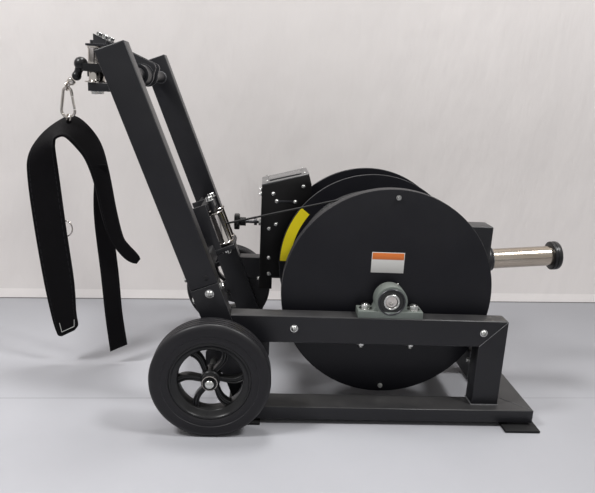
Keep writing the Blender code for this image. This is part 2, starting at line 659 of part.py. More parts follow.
def brake_box():
    slope = (498.7 - 467.7) / (5.0 - BOX_FRONT)
    outline = [(BOX_FRONT, 467.7), (5.0, 498.7), (BOX_REAR, 476.0), (BOX_REAR, 230.0), (-79.0, 230.0),
               (-79.0, 196.0), (BOX_FRONT, 196.0)]
    prism("brake_plate_near", outline, BOX_NEAR, BOX_NEAR + PLATE_T, COAT)
    far = prism("brake_plate_far", outline, BOX_FAR - PLATE_T, BOX_FAR, COAT)
    arm = box("brake_arm", (-105.0, BOX_FAR - BITE, 198.0), (-5.0, TUBE_IN - GAP, 236.0), None, CUTTERS)
    rail = box("carriage_rail", (-108.0, FLY_Y + FLY_T + 10 + GAP, 345.0), (-10.0, BOX_FAR - 1, 365.0),
               None, CUTTERS)
    ledge = box("carriage_ledge", (-108.0, FLY_Y - 8, 309.0), (-70.0, BOX_FAR - 1, 318 - GAP), None, CUTTERS)
    weld(far, arm, rail, ledge)
    wall_top = 467.7 - GAP
    wall = box("brake_front_wall", (BOX_FRONT, BOX_NEAR + PLATE_T + GAP, 196.0),
               (BOX_FRONT + PLATE_T, BOX_FAR - PLATE_T - GAP, wall_top), COAT)
    screw_y = FLY_Y + FLY_T / 2
    hole = cylinder("wall_hole", (BOX_FRONT - 20, screw_y, SCREW_Z), (BOX_FRONT + 20, screw_y, SCREW_Z),
                    SCREW_R + GAP, None, coll=CUTTERS)
    cut(wall, hole)
    top = prism("monitor_panel", [(BOX_FRONT, 468.0), (5.0, 499.0), (5.0, 503.0), (BOX_FRONT, 472.0)],
                BOX_NEAR, BOX_FAR, PANEL)
    bevel(top, 1.0, 2)
    print("brake top slopes %.1f degrees" % math.degrees(math.atan(slope)))

    y0 = FLY_Y - 10
    y1 = FLY_Y + FLY_T + 10
    carriage = box("magnet_carriage", (-106.0, y0, 318.0), (-33.0, y1, 392.0), MAGNET)
    slot = box("carriage_slot", (-96.0, y0 + 6, 300.0), (0.0, y1 - 6, 410.0), None, CUTTERS)
    thread = cylinder("carriage_thread", (-130.0, screw_y, SCREW_Z), (-60.0, screw_y, SCREW_Z),
                      SCREW_R + GAP, None, coll=CUTTERS)
    cut(carriage, slot, thread)
    start = (0.0, screw_y, SCREW_Z)
    lathe("adjuster_screw", [(0.0, -168.0), (SCREW_R, -168.0), (SCREW_R, -131.0), (9.0, -131.0),
                             (9.0, -123.0), (SCREW_R, -123.0), (SCREW_R, -70.0), (0.0, -70.0)],
          start, (1, 0, 0), STEEL, 20)
    lathe("adjuster_knob", [(0.0, -184.0), (19.5, -184.0), (20.5, -182.0), (20.5, -172.0), (19.0, -170.0),
                            (11.5, -169.0), (11.5, -153.0), (SCREW_R + GAP, -153.0),
                            (SCREW_R + GAP, -168 - GAP), (0.0, -168 - GAP)],
          start, (1, 0, 0), BLACK, 30, lobes=(5, 2.2))


def wheels():
    axle_z = WHEEL_R + WHEEL_LIFT
    reach = WHEEL_IN + WHEEL_W + 6
    dome = [(0.0, -reach - 8), (6.0, -reach - 6.5), (9.0, -reach - 3), (9.0, -reach), (AXLE_R, -reach),
            (AXLE_R, reach), (9.0, reach), (9.0, reach + 3), (6.0, reach + 6.5), (0.0, reach + 8)]
    lathe("wheel_axle", dome, (WHEEL_X, 0.0, axle_z), (0, 1, 0), CHROME, 24)
    for label, side in SIDES:
        middle = side * (WHEEL_IN + WHEEL_W / 2)
        centre = (WHEEL_X, middle, axle_z)
        half = WHEEL_W / 2
        rim = lathe("wheel_rim_" + label, [(RIM_R, -half + 3), (RIM_R, half - 3), (RIM_R - 5, half - 2),
                                           (RIM_R - 9, half - 8), (RIM_R - 15, half - 12),
                                           (RIM_R - 15, -half + 12), (RIM_R - 9, -half + 8),
                                           (RIM_R - 5, -half + 2)], centre, (0, 1, 0), BLACK, WHEEL_STEPS)
        bm = bmesh.new()
        for k in range(6):
            turn = math.radians(60 * k + 3)
            made = bmesh.ops.create_cube(bm, size=1.0)
            move = (Matrix.Translation(centre) @ Matrix.Rotation(turn, 4, "Y")
                    @ Matrix.Translation((43.0, 0.0, 0.0)) @ Matrix.Diagonal((58.0, 16.0, 13.0, 1.0)))
            bmesh.ops.transform(bm, matrix=move, verts=made["verts"])
        spokes = finish("spokes_" + label, bm, None, CUTTERS)
        hub = cylinder("hub_" + label, (WHEEL_X, middle - half - 2, axle_z),
                       (WHEEL_X, middle + half + 2, axle_z), 18.0, None, 24, CUTTERS)
        hole = cylinder("hub_bore_" + label, (WHEEL_X, middle - 60, axle_z), (WHEEL_X, middle + 60, axle_z),
                        AXLE_R + RUN, None, 24, CUTTERS)
        weld(rim, spokes, hub)
        cut(rim, hole)
        r = WHEEL_R
        profile = [(RIM_R + GAP, half - 3), (94.0, half - 0.5), (112.0, half), (119.5, half - 2.5), (r, half - 9)]
        for groove in (10.5, -5.5):
            profile += [(r, groove), (r - 2.5, groove - 1), (r - 2.5, groove - 4), (r, groove - 5)]
        profile += [(r, 9 - half), (119.5, 2.5 - half), (112.0, -half), (94.0, 0.5 - half),
                    (RIM_R + GAP, 3 - half)]
        lathe("tyre_" + label, profile, centre, (0, 1, 0), TYRE, WHEEL_STEPS)


def slope_top(x):
    """Height of the fork's upper bar, which follows the sloping top of its two plates."""
    return FORK_TOP[1] + 0.8 + (x - FORK_TOP[0]) * (FORK_HEEL[1] - FORK_TOP[1]) / (FORK_HEEL[0] - FORK_TOP[0])


def head():
    hub = mast_point(HUB_S, 0.0)
    across = Vector((FORK_TOP[1] - FORK_HEEL[1], 0.0, FORK_HEEL[0] - FORK_TOP[0])).normalized()
    reach = TUBE_IN - GAP
    lathe("head_cross_tube", [(0.0, -reach), (HUB_TUBE_R, -reach), (HUB_TUBE_R, reach), (0.0, reach)],
          (hub[0], 0.0, hub[1]), (0, 1, 0), COAT, 24)
    fork = [FORK_TOP, FORK_HEEL, (-357.0, 737.0), (-366.0, 708.0), (-384.0, 697.5),
            (-455.0, 681.0), (-500.0, 681.0), (-500.0, 697.0), (-466.0, 697.5), (-452.0, 708.0),
            (-452.0, 768.0), (-460.0, 779.0), (-488.0, 781.0)]
    plate = prism("head_bracket", fork, -28.0, -20.0, COAT)
    pulley = head_pulley_centre()
    x = HEAD_ROLLER_X
    tools = [
        prism("fork_far", fork, 20.0, 28.0, None, coll=CUTTERS),
        prism("fork_bar_high", [(-489.0, 780.0), (-462.0, 780.0), (-462.0, slope_top(-462.0)),
                                (-489.0, slope_top(-489.0))], -40.0, 40.0, None, coll=CUTTERS),
        box("fork_lug", (x - 12, -41.0, 776.0), (-459.0, 41.0, 780.5), None, CUTTERS),
        box("fork_bar_low", (-504.0, -40.0, 680.0), (-458.0, 40.0, 698.0), None, CUTTERS),
        cylinder("hub_sleeve", (hub[0], -75.0, hub[1]), (hub[0], -23.0, hub[1]), 22.0, None, 24, CUTTERS),
        cylinder("hub_ring_near", (hub[0], -31.0, hub[1]), (hub[0], -22.0, hub[1]), 25.0, None, 24, CUTTERS),
        cylinder("hub_ring_far", (hub[0], 22.0, hub[1]), (hub[0], 31.0, hub[1]), 25.0, None, 24, CUTTERS),
        cylinder("head_axle", (pulley[0], -24.0, pulley[1]), (pulley[0], 24.0, pulley[1]), 5.0, None,
                 coll=CUTTERS),
    ]
    for label, side in SIDES:
        y = side * ROLLER_Y
        tools.append(cylinder("head_pin_" + label, (x, y, 690.0), (x, y, 778.0), 4.0, None, coll=CUTTERS))
        for end, place, axis, size in (("low", (x, y, 673.5), (0, 0, 1), 7.5),
                                       ("high", (x - 1, y, 780.0), (0, 0, 1), 5.5),
                                       ("top", (-481.0, y, slope_top(-481.0) - 1.0), across, 6.5),
                                       ("second", (-467.5, y, slope_top(-467.5) - 1.0), across, 6.5)):
            tools.append(lathe("head_nut_%s_%s" % (end, label),
                               [(0.0, 0.0), (size, 0.0), (size, NUT_T), (0.0, NUT_T)],
                               place, axis, None, 6, CUTTERS))
        lathe("head_roller_" + label,
              [(4.0 + RUN, 698 + GAP), (20.0, 698 + GAP), (20.0, 701.0), (HEAD_ROLLER_R, 703.0),
               (HEAD_ROLLER_R, 771.0), (12.5, 772.0), (12.5, 776 - GAP), (4.0 + RUN, 776 - GAP)],
              (x, y, 0.0), (0, 0, 1), CHROME, 24)
    bore = cylinder("hub_bore_head", (hub[0], -90.0, hub[1]), (hub[0], 90.0, hub[1]), HUB_TUBE_R + RUN,
                    None, 24, CUTTERS)
    weld(plate, *tools)
    cut(plate, bore)

    groove = HEAD_PULLEY_R - ROPE_R - GAP
    lathe("head_pulley", [(5.0 + RUN, -7.0), (21.0, -7.0), (21.0, -5.5), (groove, -3.0), (groove, 3.0),
                          (21.0, 5.5), (21.0, 7.0), (5.0 + RUN, 7.0)],
          (pulley[0], 0.0, pulley[1]), (0, 1, 0), BLACK, 28)

    block = box("guide_block", (-513.0, -42.0, 722.0), (-452 - GAP, 42.0, 738.5), BLACK)
    nose = box("block_nose", (-512.5, -11.0, 711.0), (-490.0, 11.0, 725.0), None, CUTTERS)
    holes = [cylinder("block_hole_" + label, (x, side * ROLLER_Y, 680.0), (x, side * ROLLER_Y, 790.0),
                      HEAD_ROLLER_R + 0.9, None, 24, CUTTERS) for label, side in SIDES]
    holes.append(cylinder("block_rope_hole", (-540.0, 0.0, EXIT_Z), (-400.0, 0.0, EXIT_Z), ROPE_R + 1.5,
                          None, 24, CUTTERS))
    weld(block, nose)
    cut(block, *holes)


def rope_end():
    top = Vector((-513.0 - BALL_R - GAP, 0.0, 738.0))
    blob = Vector((-539.4, 0.0, 711.0))
    stopper = ball("stopper_ball", top, BALL_R, BLACK)
    neck = cylinder("sleeve_neck", top + Vector((0, 0, -6)), blob, 8.5, None, 16, CUTTERS)
    socket = ball("sleeve_end", blob, 10.5, None, CUTTERS)
    weld(stopper, neck, socket)

    lean = Vector((-1.0, 0.0, -1.0)).normalized()
    bar = HOOK_BAR
    eye_r = 9.0
    eye_bar = 2.2
    eye = Vector((HOOK_X, 0.0, HOOK_TOP + eye_r - eye_bar - bar - 0.6))
    start = blob + lean * (11.1 + GAP)
    swivel = cylinder("rope_swivel", start, eye + Vector((0.0, 0.0, eye_r)), 5.0, CHROME, 24)
    barrel = lathe("swivel_barrel", [(0.0, 0.0), (7.2, 0.0), (8.6, 1.5), (8.6, 9.0), (6.0, 12.0), (0.0, 12.0)],
                   start, lean, None, 24, CUTTERS)
    ring = []
    for k in range(24):
        turn = 2 * math.pi * k / 24
        ring.append(eye + Vector((0.0, eye_r * math.cos(turn), eye_r * math.sin(turn))))
    weld(swivel, barrel, solid_rod("swivel_eye", ring, eye_bar, None, True, 2, CUTTERS))

    upper = Vector((HOOK_X, 0.0, HOOK_TOP - HOOK_SMALL))
    lower = Vector((HOOK_X, 0.0, HOOK_LOW + HOOK_LARGE))
    flare = math.asin((HOOK_LARGE - HOOK_SMALL) / (upper.z - lower.z))

    def side_point(share):
        """A point on the gate's side of the hook, from its large bend up to its small one."""
        out = Vector((math.cos(flare), 0.0, math.sin(flare)))
        return (lower + out * HOOK_LARGE).lerp(upper + out * HOOK_SMALL, share)

    path = [side_point(NOSE_LOW)]
    for k in range(13):
        turn = flare + (math.pi - 2 * flare) * k / 12
        path.append(upper + Vector((HOOK_SMALL * math.cos(turn), 0.0, HOOK_SMALL * math.sin(turn))))
    for k in range(13):
        turn = math.pi - flare + (math.pi + 2 * flare) * k / 12
        path.append(lower + Vector((HOOK_LARGE * math.cos(turn), 0.0, HOOK_LARGE * math.sin(turn))))
    rod("carabiner", path, bar, CHROME)
    up = (path[0] - path[-1]).normalized()
    rod("carabiner_gate", [path[-1] + up * 2.2, path[0] - up * 2.2], bar - 0.5, CHROME)

    big = 8.2
    thin = 1.8
    middle = Vector((HOOK_X, 0.0, HOOK_LOW - (big - thin - bar - 1.6)))
    side = Vector((-1.0, 1.0, 0.0)).normalized()
    ring = [middle + side * (big * math.cos(2 * math.pi * k / 20))
            + Vector((0, 0, 1)) * (big * math.sin(2 * math.pi * k / 20)) for k in range(20)]
    rod("belt_ring", ring, thin, CHROME, closed=True)
    return middle.x, middle.z - big


def belt(ring_low):
    """The waist belt hangs folded over its ring: a wide band with a narrow strap sewn to it.

    Each station is the far edge and then the near edge of the webbing.
    """
    x, low = ring_low
    crown = low - 6.4
    band = [
        (-611.0, 0.0, 76.0, -563.0, 0.0, 108.0),
        (-623.0, 0.0, 112.0, -566.0, 0.0, 140.0),
        (-640.0, 2.0, 215.0, -568.0, 0.0, 225.0),
        (-655.0, 3.0, 349.0, -581.0, 0.0, 362.0),
        (-664.0, 4.0, 470.0, -590.0, -2.0, 480.0),
        (-660.0, 8.0, 528.0, -592.0, -12.0, 538.0),
        (-632.0, 22.0, 576.0, -586.0, -30.0, 562.0),
        (x - 32.0, 30.0, crown + 9.0, x - 18.0, -40.0, crown - 28.0),
        (x + 2.0, 30.0, crown + 17.0, x + 2.0, -42.0, crown - 24.0),
        (-528.0, 30.0, crown + 2.0, -538.0, -34.0, 556.0),
        (-496.0, 24.0, 558.0, -520.0, -24.0, 524.0),
        (-478.0, 17.0, 490.0, -506.0, -13.0, 470.0),
        (-462.0, 10.0, 405.0, -494.0, -8.0, 398.0),
        (-446.0, 4.0, 340.0, -480.0, -6.0, 340.0),
        (-424.0, 2.0, 303.0, -462.0, -4.0, 302.0),
        (-404.0, 0.0, 286.0, -420.0, -2.0, 278.0),
    ]
    webbing = ribbon("belt_band", band, 5.5, WEB, 3)
    tail = [
        (-500.0, -4.0, 512.0, -482.0, 8.0, 512.0),
        (-510.0, 0.0, 470.0, -478.0, 16.0, 470.0),
        (-516.0, 10.0, 380.0, -474.0, 14.0, 380.0),
        (-505.0, 10.0, 240.0, -461.0, 10.0, 246.0),
        (-497.0, 8.0, 130.0, -454.0, 8.0, 142.0),
        (-487.0, 6.0, 33.0, -443.0, 6.0, 54.0),
    ]
    strap = ribbon("belt_tail", tail, 3.0, None, 3, CUTTERS)
    across = Vector((-1.0, 1.0, 0.0)).normalized()
    start = Vector((x, 0.0, low)) - across * 2.5
    tab = lathe("belt_tab", [(2.6, 0.0), (5.6, 0.0), (5.6, 5.0), (2.6, 5.0)], start, across, None, 20, CUTTERS)
    weld(webbing, strap, tab)


base_frame()
side_frames()
weight_horn()
lower_guide()
ropes()
drum()
brake_box()
wheels()
head()
belt(rope_end())

for part in list(PARTS.objects) + list(CUTTERS.objects):
    part.location.x += SHIFT_X * MM
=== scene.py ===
"""Looks of the sprint training machine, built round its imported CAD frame.

Places and lengths inside the operators are in millimetres in the part's own layout. The
functions that make a piece turn them into metres, with the same shift along X as the part has.
The profile of a turned piece is a list of (radius, height along its axis).
"""
import json
import math

import bpy
from bpy.props import FloatProperty, FloatVectorProperty, PointerProperty
from mathutils import Matrix, Vector

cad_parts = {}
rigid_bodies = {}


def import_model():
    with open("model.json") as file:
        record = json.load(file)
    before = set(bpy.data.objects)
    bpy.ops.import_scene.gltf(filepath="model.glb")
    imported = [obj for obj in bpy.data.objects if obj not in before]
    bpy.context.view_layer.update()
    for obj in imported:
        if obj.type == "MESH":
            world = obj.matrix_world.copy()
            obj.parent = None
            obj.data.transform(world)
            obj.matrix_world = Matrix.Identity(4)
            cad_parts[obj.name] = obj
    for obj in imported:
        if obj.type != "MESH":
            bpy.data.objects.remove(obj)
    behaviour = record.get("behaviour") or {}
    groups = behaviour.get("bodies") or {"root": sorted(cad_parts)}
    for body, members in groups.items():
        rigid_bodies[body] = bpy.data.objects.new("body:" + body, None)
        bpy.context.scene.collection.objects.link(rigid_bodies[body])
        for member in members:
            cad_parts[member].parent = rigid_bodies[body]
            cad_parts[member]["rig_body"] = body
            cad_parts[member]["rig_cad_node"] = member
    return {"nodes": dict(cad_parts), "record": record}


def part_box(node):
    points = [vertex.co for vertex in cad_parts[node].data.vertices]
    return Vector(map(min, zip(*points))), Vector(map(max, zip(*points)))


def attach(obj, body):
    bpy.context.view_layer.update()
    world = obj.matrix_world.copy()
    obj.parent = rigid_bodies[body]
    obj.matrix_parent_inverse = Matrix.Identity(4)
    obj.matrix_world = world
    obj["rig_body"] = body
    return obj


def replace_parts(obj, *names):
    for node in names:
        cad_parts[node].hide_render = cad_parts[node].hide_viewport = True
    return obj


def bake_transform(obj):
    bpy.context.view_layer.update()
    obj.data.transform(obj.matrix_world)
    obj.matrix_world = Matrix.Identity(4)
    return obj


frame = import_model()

bl_info = {
    "name": "Sprint training machine",
    "version": (1, 0, 0),
    "blender": (4, 5, 0),
    "location": "3D View > Sidebar > Trainer",
    "description": "Builds the visual model of a rope drum sprint training machine",
    "category": "Object",
}

MM = 0.001
SHIFT_X = 9.2

# The frame: heights, and how far its tubes lie from the middle plane
BASE_TOP = 41
BEAM_LOW = 180
CROSS_LOW = 83
CROSS_HIGH = 150
TUBE_IN = 206
TUBE_MIDDLE = 226
TUBE_OUT = 246
POST_FRONT = 371
POST_REAR = 431
MAST_TILT = math.radians(21)
MAST_X = -125.9
MAST_HALF = 30
HORN_TILT = math.radians(5)
HORN_ROOT = (457, 0, 313)

# The drum and its wound rope
DRUM = (171, 0, 276.8)
NEAR_FACE = -194
MID_FACE = 36.2
CORE_R = 195.4
CORE_Y = -168
CORE_TURNS = 35
WIND_R = 200
LEAVE_R = 205.3
WIND_LOOPS = 16
WIND_PITCH = 5.7
WIND_Y = -70
ROPE_SLOPE = 0.28748592

# The rope's way through the guide and the head; the head turns on its cross tube
GUIDE = (-259.84, 0, 384.35)
GUIDE_R = 20
ROPE_OFF_MAST = -22
HEAD_UP_MAST = 727
HEAD_WHEEL = (-427.81, 0, 714.5)
HEAD_WHEEL_R = 18.5
HEAD_ROPE_Z = 733
HEAD_ROLLER_X = -494
ROLLER_OFF_MAST = 42
ROLLER_Y = 25

# What hangs on the rope
BALL = (-528.6, 0, 738)
BALL_END = (-539.4, 0, 711)
HOOK_X = -562
HOOK_TOP = 684.7
HOOK_LOW = 618.3
HOOK_SMALL = 9
HOOK_LARGE = 15
NOSE_LOW = 0.72
SWIVEL_EYE_Z = 687.6
RING_BAR = 1.8

# The wheels, the brake and its adjuster
WHEEL_X = -204
WHEEL_Y = 303.5
WHEEL_Z = 124.5
TREAD_R = 124
GROOVE_R = 121.6
SPOKE_ROOT = 15
SPOKE_LENGTH = 54
BOX_NEAR_Y = 62
BOX_FRONT_X = -113
ADJUSTER_Y = 152
ADJUSTER_Z = 355
ADJUSTER_PITCH = 1.6
PANEL_SLOPE = math.atan(31 / 118)

# Fasteners, and weld beads: the length of a ripple's step and how wide each step is
WASHER_THICK = 1.5
THREAD_PITCH = 1.5
WELD_STEP = 1.8
WELD_RIPPLE = (1, 0.85, 0.72, 0.9)
MITRE_R = 0.0006

# Clean-up of a mesh: merging distances in metres, and the angles of flat faces and of edges
MERGE_CAD = 0.000002
MERGE_LINE = 0.000001
FLAT_ANGLE = math.radians(1.5)
EDGE_ANGLE = math.radians(34)

# The stage, in metres: each lamp's name, place, size and power, and where the lamps aim
LAMPS = (
    ("right", (1.5, -0.9, 2.6), 0.5, 42),
    ("left", (-1.7, -0.9, 2.5), 0.5, 46),
    ("overhead", (-0.1, 0.28, 2.9), 0.6, 34),
)
LAMP_AIM = (0, 0, 0.3)
WORLD_GREY = (0.80, 0.80, 0.80, 1)
WORLD_SHINES = 0.34
WORLD_SEEN = 0.72
FLOOR_SIZE = 40
WALL_PLACE = (0, 0.5237, 1.5)
WALL_SIZE = (9, 3, 1, 1)
WALL_TURN = math.radians(3.24)

# The camera of the photograph, placed in the part's layout
CAMERA = (-109.6, -1425, 697.8)
CAMERA_LENS = 36
CAMERA_SENSOR = 36
CAMERA_YAW = math.radians(3.60)
CAMERA_PITCH = math.radians(14.47)
CAMERA_ROLL = math.radians(2.81)

# Grey of dust, also a painted sheen that lightens faces that look up
DUST_AND_SHEEN_GREY = (0.33, 0.32, 0.30)
SIDES = (("near", -1), ("far", 1))
UP = (0, 0, 1)
DOWN = (0, 0, -1)
REAR = (1, 0, 0)
FRONT = (-1, 0, 0)
FAR = (0, 1, 0)
NEAR = (0, -1, 0)
MAST_UP = (-math.sin(MAST_TILT), 0, math.cos(MAST_TILT))
MAST_DOWN = tuple(-c for c in MAST_UP)
MAST_BACK = (math.cos(MAST_TILT), 0, math.sin(MAST_TILT))

SLOT_OF_NODE = {part["node"]: part["material_slot"] for part in frame["record"]["subparts"]}
BODY_OF_NODE = {name: body for body, names in frame["record"]["behaviour"]["bodies"].items()
                for name in names}
FINISHES = {}
GROUPS = {}
SHAPES = {}


class TrainerSizes(bpy.types.PropertyGroup):
    """Sizes that a user would change"""

    tube_rounding: FloatProperty(
        name="Tube rounding", description="Radius of the edges of the frame's tubes",
        default=0.0022, unit="LENGTH")
    plate_rounding: FloatProperty(
        name="Plate rounding", description="Radius of the edges of plates and brackets",
        default=0.0007, unit="LENGTH")
    rope_radius: FloatProperty(
        name="Rope radius", description="Half the thickness of the rope",
        default=0.0025, unit="LENGTH")
    belt_thickness: FloatProperty(
        name="Belt thickness", description="Thickness of the padded waist belt",
        default=0.0055, unit="LENGTH")
    strap_thickness: FloatProperty(
        name="Strap thickness", description="Thickness of the belt's closing strap",
        default=0.0026, unit="LENGTH")
    weld_radius: FloatProperty(
        name="Weld radius", description="Half the width of a weld bead",
        default=0.0018, unit="LENGTH")


class TrainerFinishes(bpy.types.PropertyGroup):
    """Colours, wear with its painted edge highlights, and dust with its painted sheen, that a user would
    change
    """

    coat: FloatVectorProperty(
        name="Frame coat", description="Powder coat of the frame",
        default=(0.0082, 0.0082, 0.0110), subtype="COLOR")
    disc: FloatVectorProperty(
        name="Disc coat", description="Satin coat of the discs",
        default=(0.0066, 0.0066, 0.0096), subtype="COLOR")
    casting: FloatVectorProperty(
        name="Castings", description="Paint of the bearing blocks",
        default=(0.150, 0.172, 0.155), subtype="COLOR")
    tyre: FloatVectorProperty(
        name="Tyres", description="Rubber of the tyres",
        default=(0.0048, 0.0042, 0.0064), subtype="COLOR")
    webbing: FloatVectorProperty(
        name="Belt", description="Fabric of the waist belt",
        default=(0.0028, 0.0024, 0.0032), subtype="COLOR")
    white: FloatVectorProperty(
        name="White plate", description="Bare plate on the near disc",
        default=(0.72, 0.71, 0.68), subtype="COLOR")
    orange: FloatVectorProperty(
        name="Orange band", description="Band on the white plate",
        default=(0.78, 0.20, 0.035), subtype="COLOR")
    yellow: FloatVectorProperty(
        name="Yellow strip", description="Strip on the middle disc",
        default=(0.92, 0.76, 0.014), subtype="COLOR")
    floor: FloatVectorProperty(
        name="Floor", description="Colour of the floor",
        default=(0.445, 0.445, 0.470), subtype="COLOR")
    wall: FloatVectorProperty(
        name="Backdrop", description="Colour of the sheet behind",
        default=(0.745, 0.705, 0.685), subtype="COLOR")
    # Rubbed edges; their lighter colour also paints edge highlights
    wear_and_highlight: FloatProperty(
        name="Edge wear and highlight", description="How far the paint is rubbed off edges",
        default=0.5, subtype="FACTOR")
    # Dust on faces that look up; it also paints a sheen on them, as if lit from above
    dust_and_sheen: FloatProperty(
        name="Dust and sheen", description="How much dust lies on faces that look up",
        default=0.22, subtype="FACTOR")


def at(x, y, z):
    """A place in the part's layout, in metres."""
    return Vector(((x + SHIFT_X) * MM, y * MM, z * MM))


def mast(s, d, y=0):
    """A place s up the mast and d behind its middle line."""
    return (MAST_X + s * MAST_UP[0] + d * MAST_BACK[0], y, BASE_TOP + s * MAST_UP[2] + d * MAST_BACK[2])


def shader_group(name, inputs, output, kind="NodeSocketFloat"):
    """Start a node group with number inputs and one output."""
    tree = bpy.data.node_groups.new(name, "ShaderNodeTree")
    GROUPS[name] = tree
    for label, value in inputs:
        socket = tree.interface.new_socket(name=label, in_out="INPUT", socket_type="NodeSocketFloat")
        socket.default_value = value
    tree.interface.new_socket(name=output, in_out="OUTPUT", socket_type=kind)
    return tree, tree.nodes.new("NodeGroupInput").outputs, tree.nodes.new("NodeGroupOutput").inputs


def add_node(tree, kind, values=None, links=None, **settings):
    """Add a node, set its properties and input values, and link other nodes' outputs to it."""
    made = tree.nodes.new(kind)
    for key, value in settings.items():
        setattr(made, key, value)
    for key, value in (values or {}).items():
        made.inputs[key].default_value = value
    for key, source in (links or {}).items():
        tree.links.new(source, made.inputs[key])
    return made


def maths(tree, operation, a, b=None):
    """Do a sum with plain numbers or other nodes' outputs."""
    made = add_node(tree, "ShaderNodeMath", operation=operation)
    for socket, value in zip(made.inputs, (a, b)):
        if isinstance(value, (int, float)):
            socket.default_value = value
        elif value is not None:
            tree.links.new(value, socket)
    return made.outputs[0]


def times(tree, product, *others):
    """Multiply any count of plain numbers and other nodes' outputs."""
    for other in others:
        product = maths(tree, "MULTIPLY", product, other)
    return product


def coordinates(tree, kind="Object"):
    """The place on a piece, as Object or UV coordinates."""
    return add_node(tree, "ShaderNodeTexCoord").outputs[kind]


def split_up(tree, vector):
    """The X, Y and Z of a vector."""
    return add_node(tree, "ShaderNodeSeparateXYZ", links={0: vector}).outputs


def ramp(tree, value, first=0, last=1, low=0, high=1):
    """Map first to last of a value onto low to high, and stop there."""
    steps = {"From Min": first, "From Max": last, "To Min": low, "To Max": high}
    return add_node(tree, "ShaderNodeMapRange", steps, {"Value": value}).outputs["Result"]


def noise(tree, scale, detail=4, rough=0.6, vector=None):
    """Noise whose scale is a number or another node's output."""
    links = {"Vector": vector or coordinates(tree)}
    values = {"Detail": detail, "Roughness": rough}
    if isinstance(scale, (int, float)):
        values["Scale"] = scale
    else:
        links["Scale"] = scale
    return add_node(tree, "ShaderNodeTexNoise", values, links).outputs["Fac"]


def bump(tree, height, strength, distance, **settings):
    """A normal from a height; the strength is a number or another node's output."""
    made = add_node(tree, "ShaderNodeBump", {"Distance": distance}, {"Height": height}, **settings)
    if isinstance(strength, (int, float)):
        made.inputs["Strength"].default_value = strength
    else:
        tree.links.new(strength, made.inputs["Strength"])
    return made.outputs[0]


def mix(tree, mask, first, second):
    """Mix two colours; each is a plain colour or another node's output."""
    made = add_node(tree, "ShaderNodeMix", data_type="RGBA", links={0: mask})
    for index, value in ((6, first), (7, second)):
        if isinstance(value, bpy.types.NodeSocket):
            tree.links.new(value, made.inputs[index])
        else:
            made.inputs[index].default_value = (*value, 1)
    return made.outputs[2]


def scaled(colour, factor, most=1):
    """A colour made darker or lighter, with no channel above the most."""
    return tuple(min(most, channel * factor) for channel in colour)


def place_group(tree, group, **values):
    """Use a shader group with its own input values."""
    made = add_node(tree, "ShaderNodeGroup", node_tree=GROUPS[group])
    for key, value in values.items():
        made.inputs[key.replace("_", " ")].default_value = value
    return made.outputs[0]


def edge_wear_and_highlight_group():
    """1 where an edge is rubbed bare, broken up by noise; the lighter edges also stand in for painted edge
    highlights.
    """
    asked = [("Width", 0.0012), ("Amount", 0.5), ("Scale", 140)]
    tree, given, out = shader_group("Edge wear and highlight", asked, "Mask")
    bevel = add_node(tree, "ShaderNodeBevel", samples=4, links={"Radius": given["Width"]})
    normal = add_node(tree, "ShaderNodeNewGeometry").outputs["Normal"]
    dot = add_node(tree, "ShaderNodeVectorMath", links={0: bevel.outputs[0], 1: normal},
                   operation="DOT_PRODUCT")
    edge = maths(tree, "SUBTRACT", 1, dot.outputs["Value"])
    patchy = noise(tree, given["Scale"], 6, 0.7)
    wear_and_highlight_mask = times(tree, edge, patchy, 9, given["Amount"])
    tree.links.new(ramp(tree, wear_and_highlight_mask, 0.25, 0.8), out["Mask"])


def grain_group():
    """Fine texture over slow waves, as a normal."""
    tree, given, out = shader_group("Grain", [("Scale", 900), ("Strength", 0.1), ("Waves", 12)], "Normal",
                                    "NodeSocketVector")
    fine = noise(tree, given["Scale"], 3)
    broad = noise(tree, given["Waves"], 2)
    height = maths(tree, "ADD", fine, times(tree, broad, 1.4))
    tree.links.new(bump(tree, height, given["Strength"], 0.0004), out["Normal"])


def dust_and_sheen_group():
    """Dust that settles on faces that look up, and a painted sheen: the same lighter grey on up-facing faces
    stands in for light from above.
    """
    tree, given, out = shader_group("Dust and sheen", [("Amount", 0.3), ("Scale", 14)], "Mask")
    normal = add_node(tree, "ShaderNodeNewGeometry").outputs["Normal"]
    up = maths(tree, "ADD", maths(tree, "MAXIMUM", split_up(tree, normal)["Z"], 0), 0.12)
    patchy = noise(tree, given["Scale"], 8, 0.65)
    tree.links.new(times(tree, up, patchy, given["Amount"]), out["Mask"])


def turned_group():
    """Fine rings round an axis along Y, as a lathe leaves them."""
    tree, given, out = shader_group("Turned", [("Centre X", 0), ("Centre Z", 0), ("Rings", 900)], "Value")
    place = split_up(tree, coordinates(tree))
    x = maths(tree, "SUBTRACT", place["X"], given["Centre X"])
    z = maths(tree, "SUBTRACT", place["Z"], given["Centre Z"])
    square = maths(tree, "ADD", times(tree, x, x), times(tree, z, z))
    radius = times(tree, maths(tree, "SQRT", square), given["Rings"])
    line = add_node(tree, "ShaderNodeCombineXYZ", links={"X": radius})
    tree.links.new(noise(tree, 1, 4, 0.6, line.outputs[0]), out["Value"])


def drawn_and_reflection_group():
    """Streaks along the X axis, as drawing or polishing leaves them; their colour also paints warm
    reflections on polished metal.
    """
    tree, given, out = shader_group("Drawn and reflected streaks", [("Along", 3), ("Round", 260)], "Value")
    place = split_up(tree, coordinates(tree))
    stretched = {axis: times(tree, place[axis], given[ask])
                 for axis, ask in (("X", "Along"), ("Y", "Round"), ("Z", "Round"))}
    line = add_node(tree, "ShaderNodeCombineXYZ", links=stretched)
    tree.links.new(noise(tree, 1, 4, 0.6, line.outputs[0]), out["Value"])


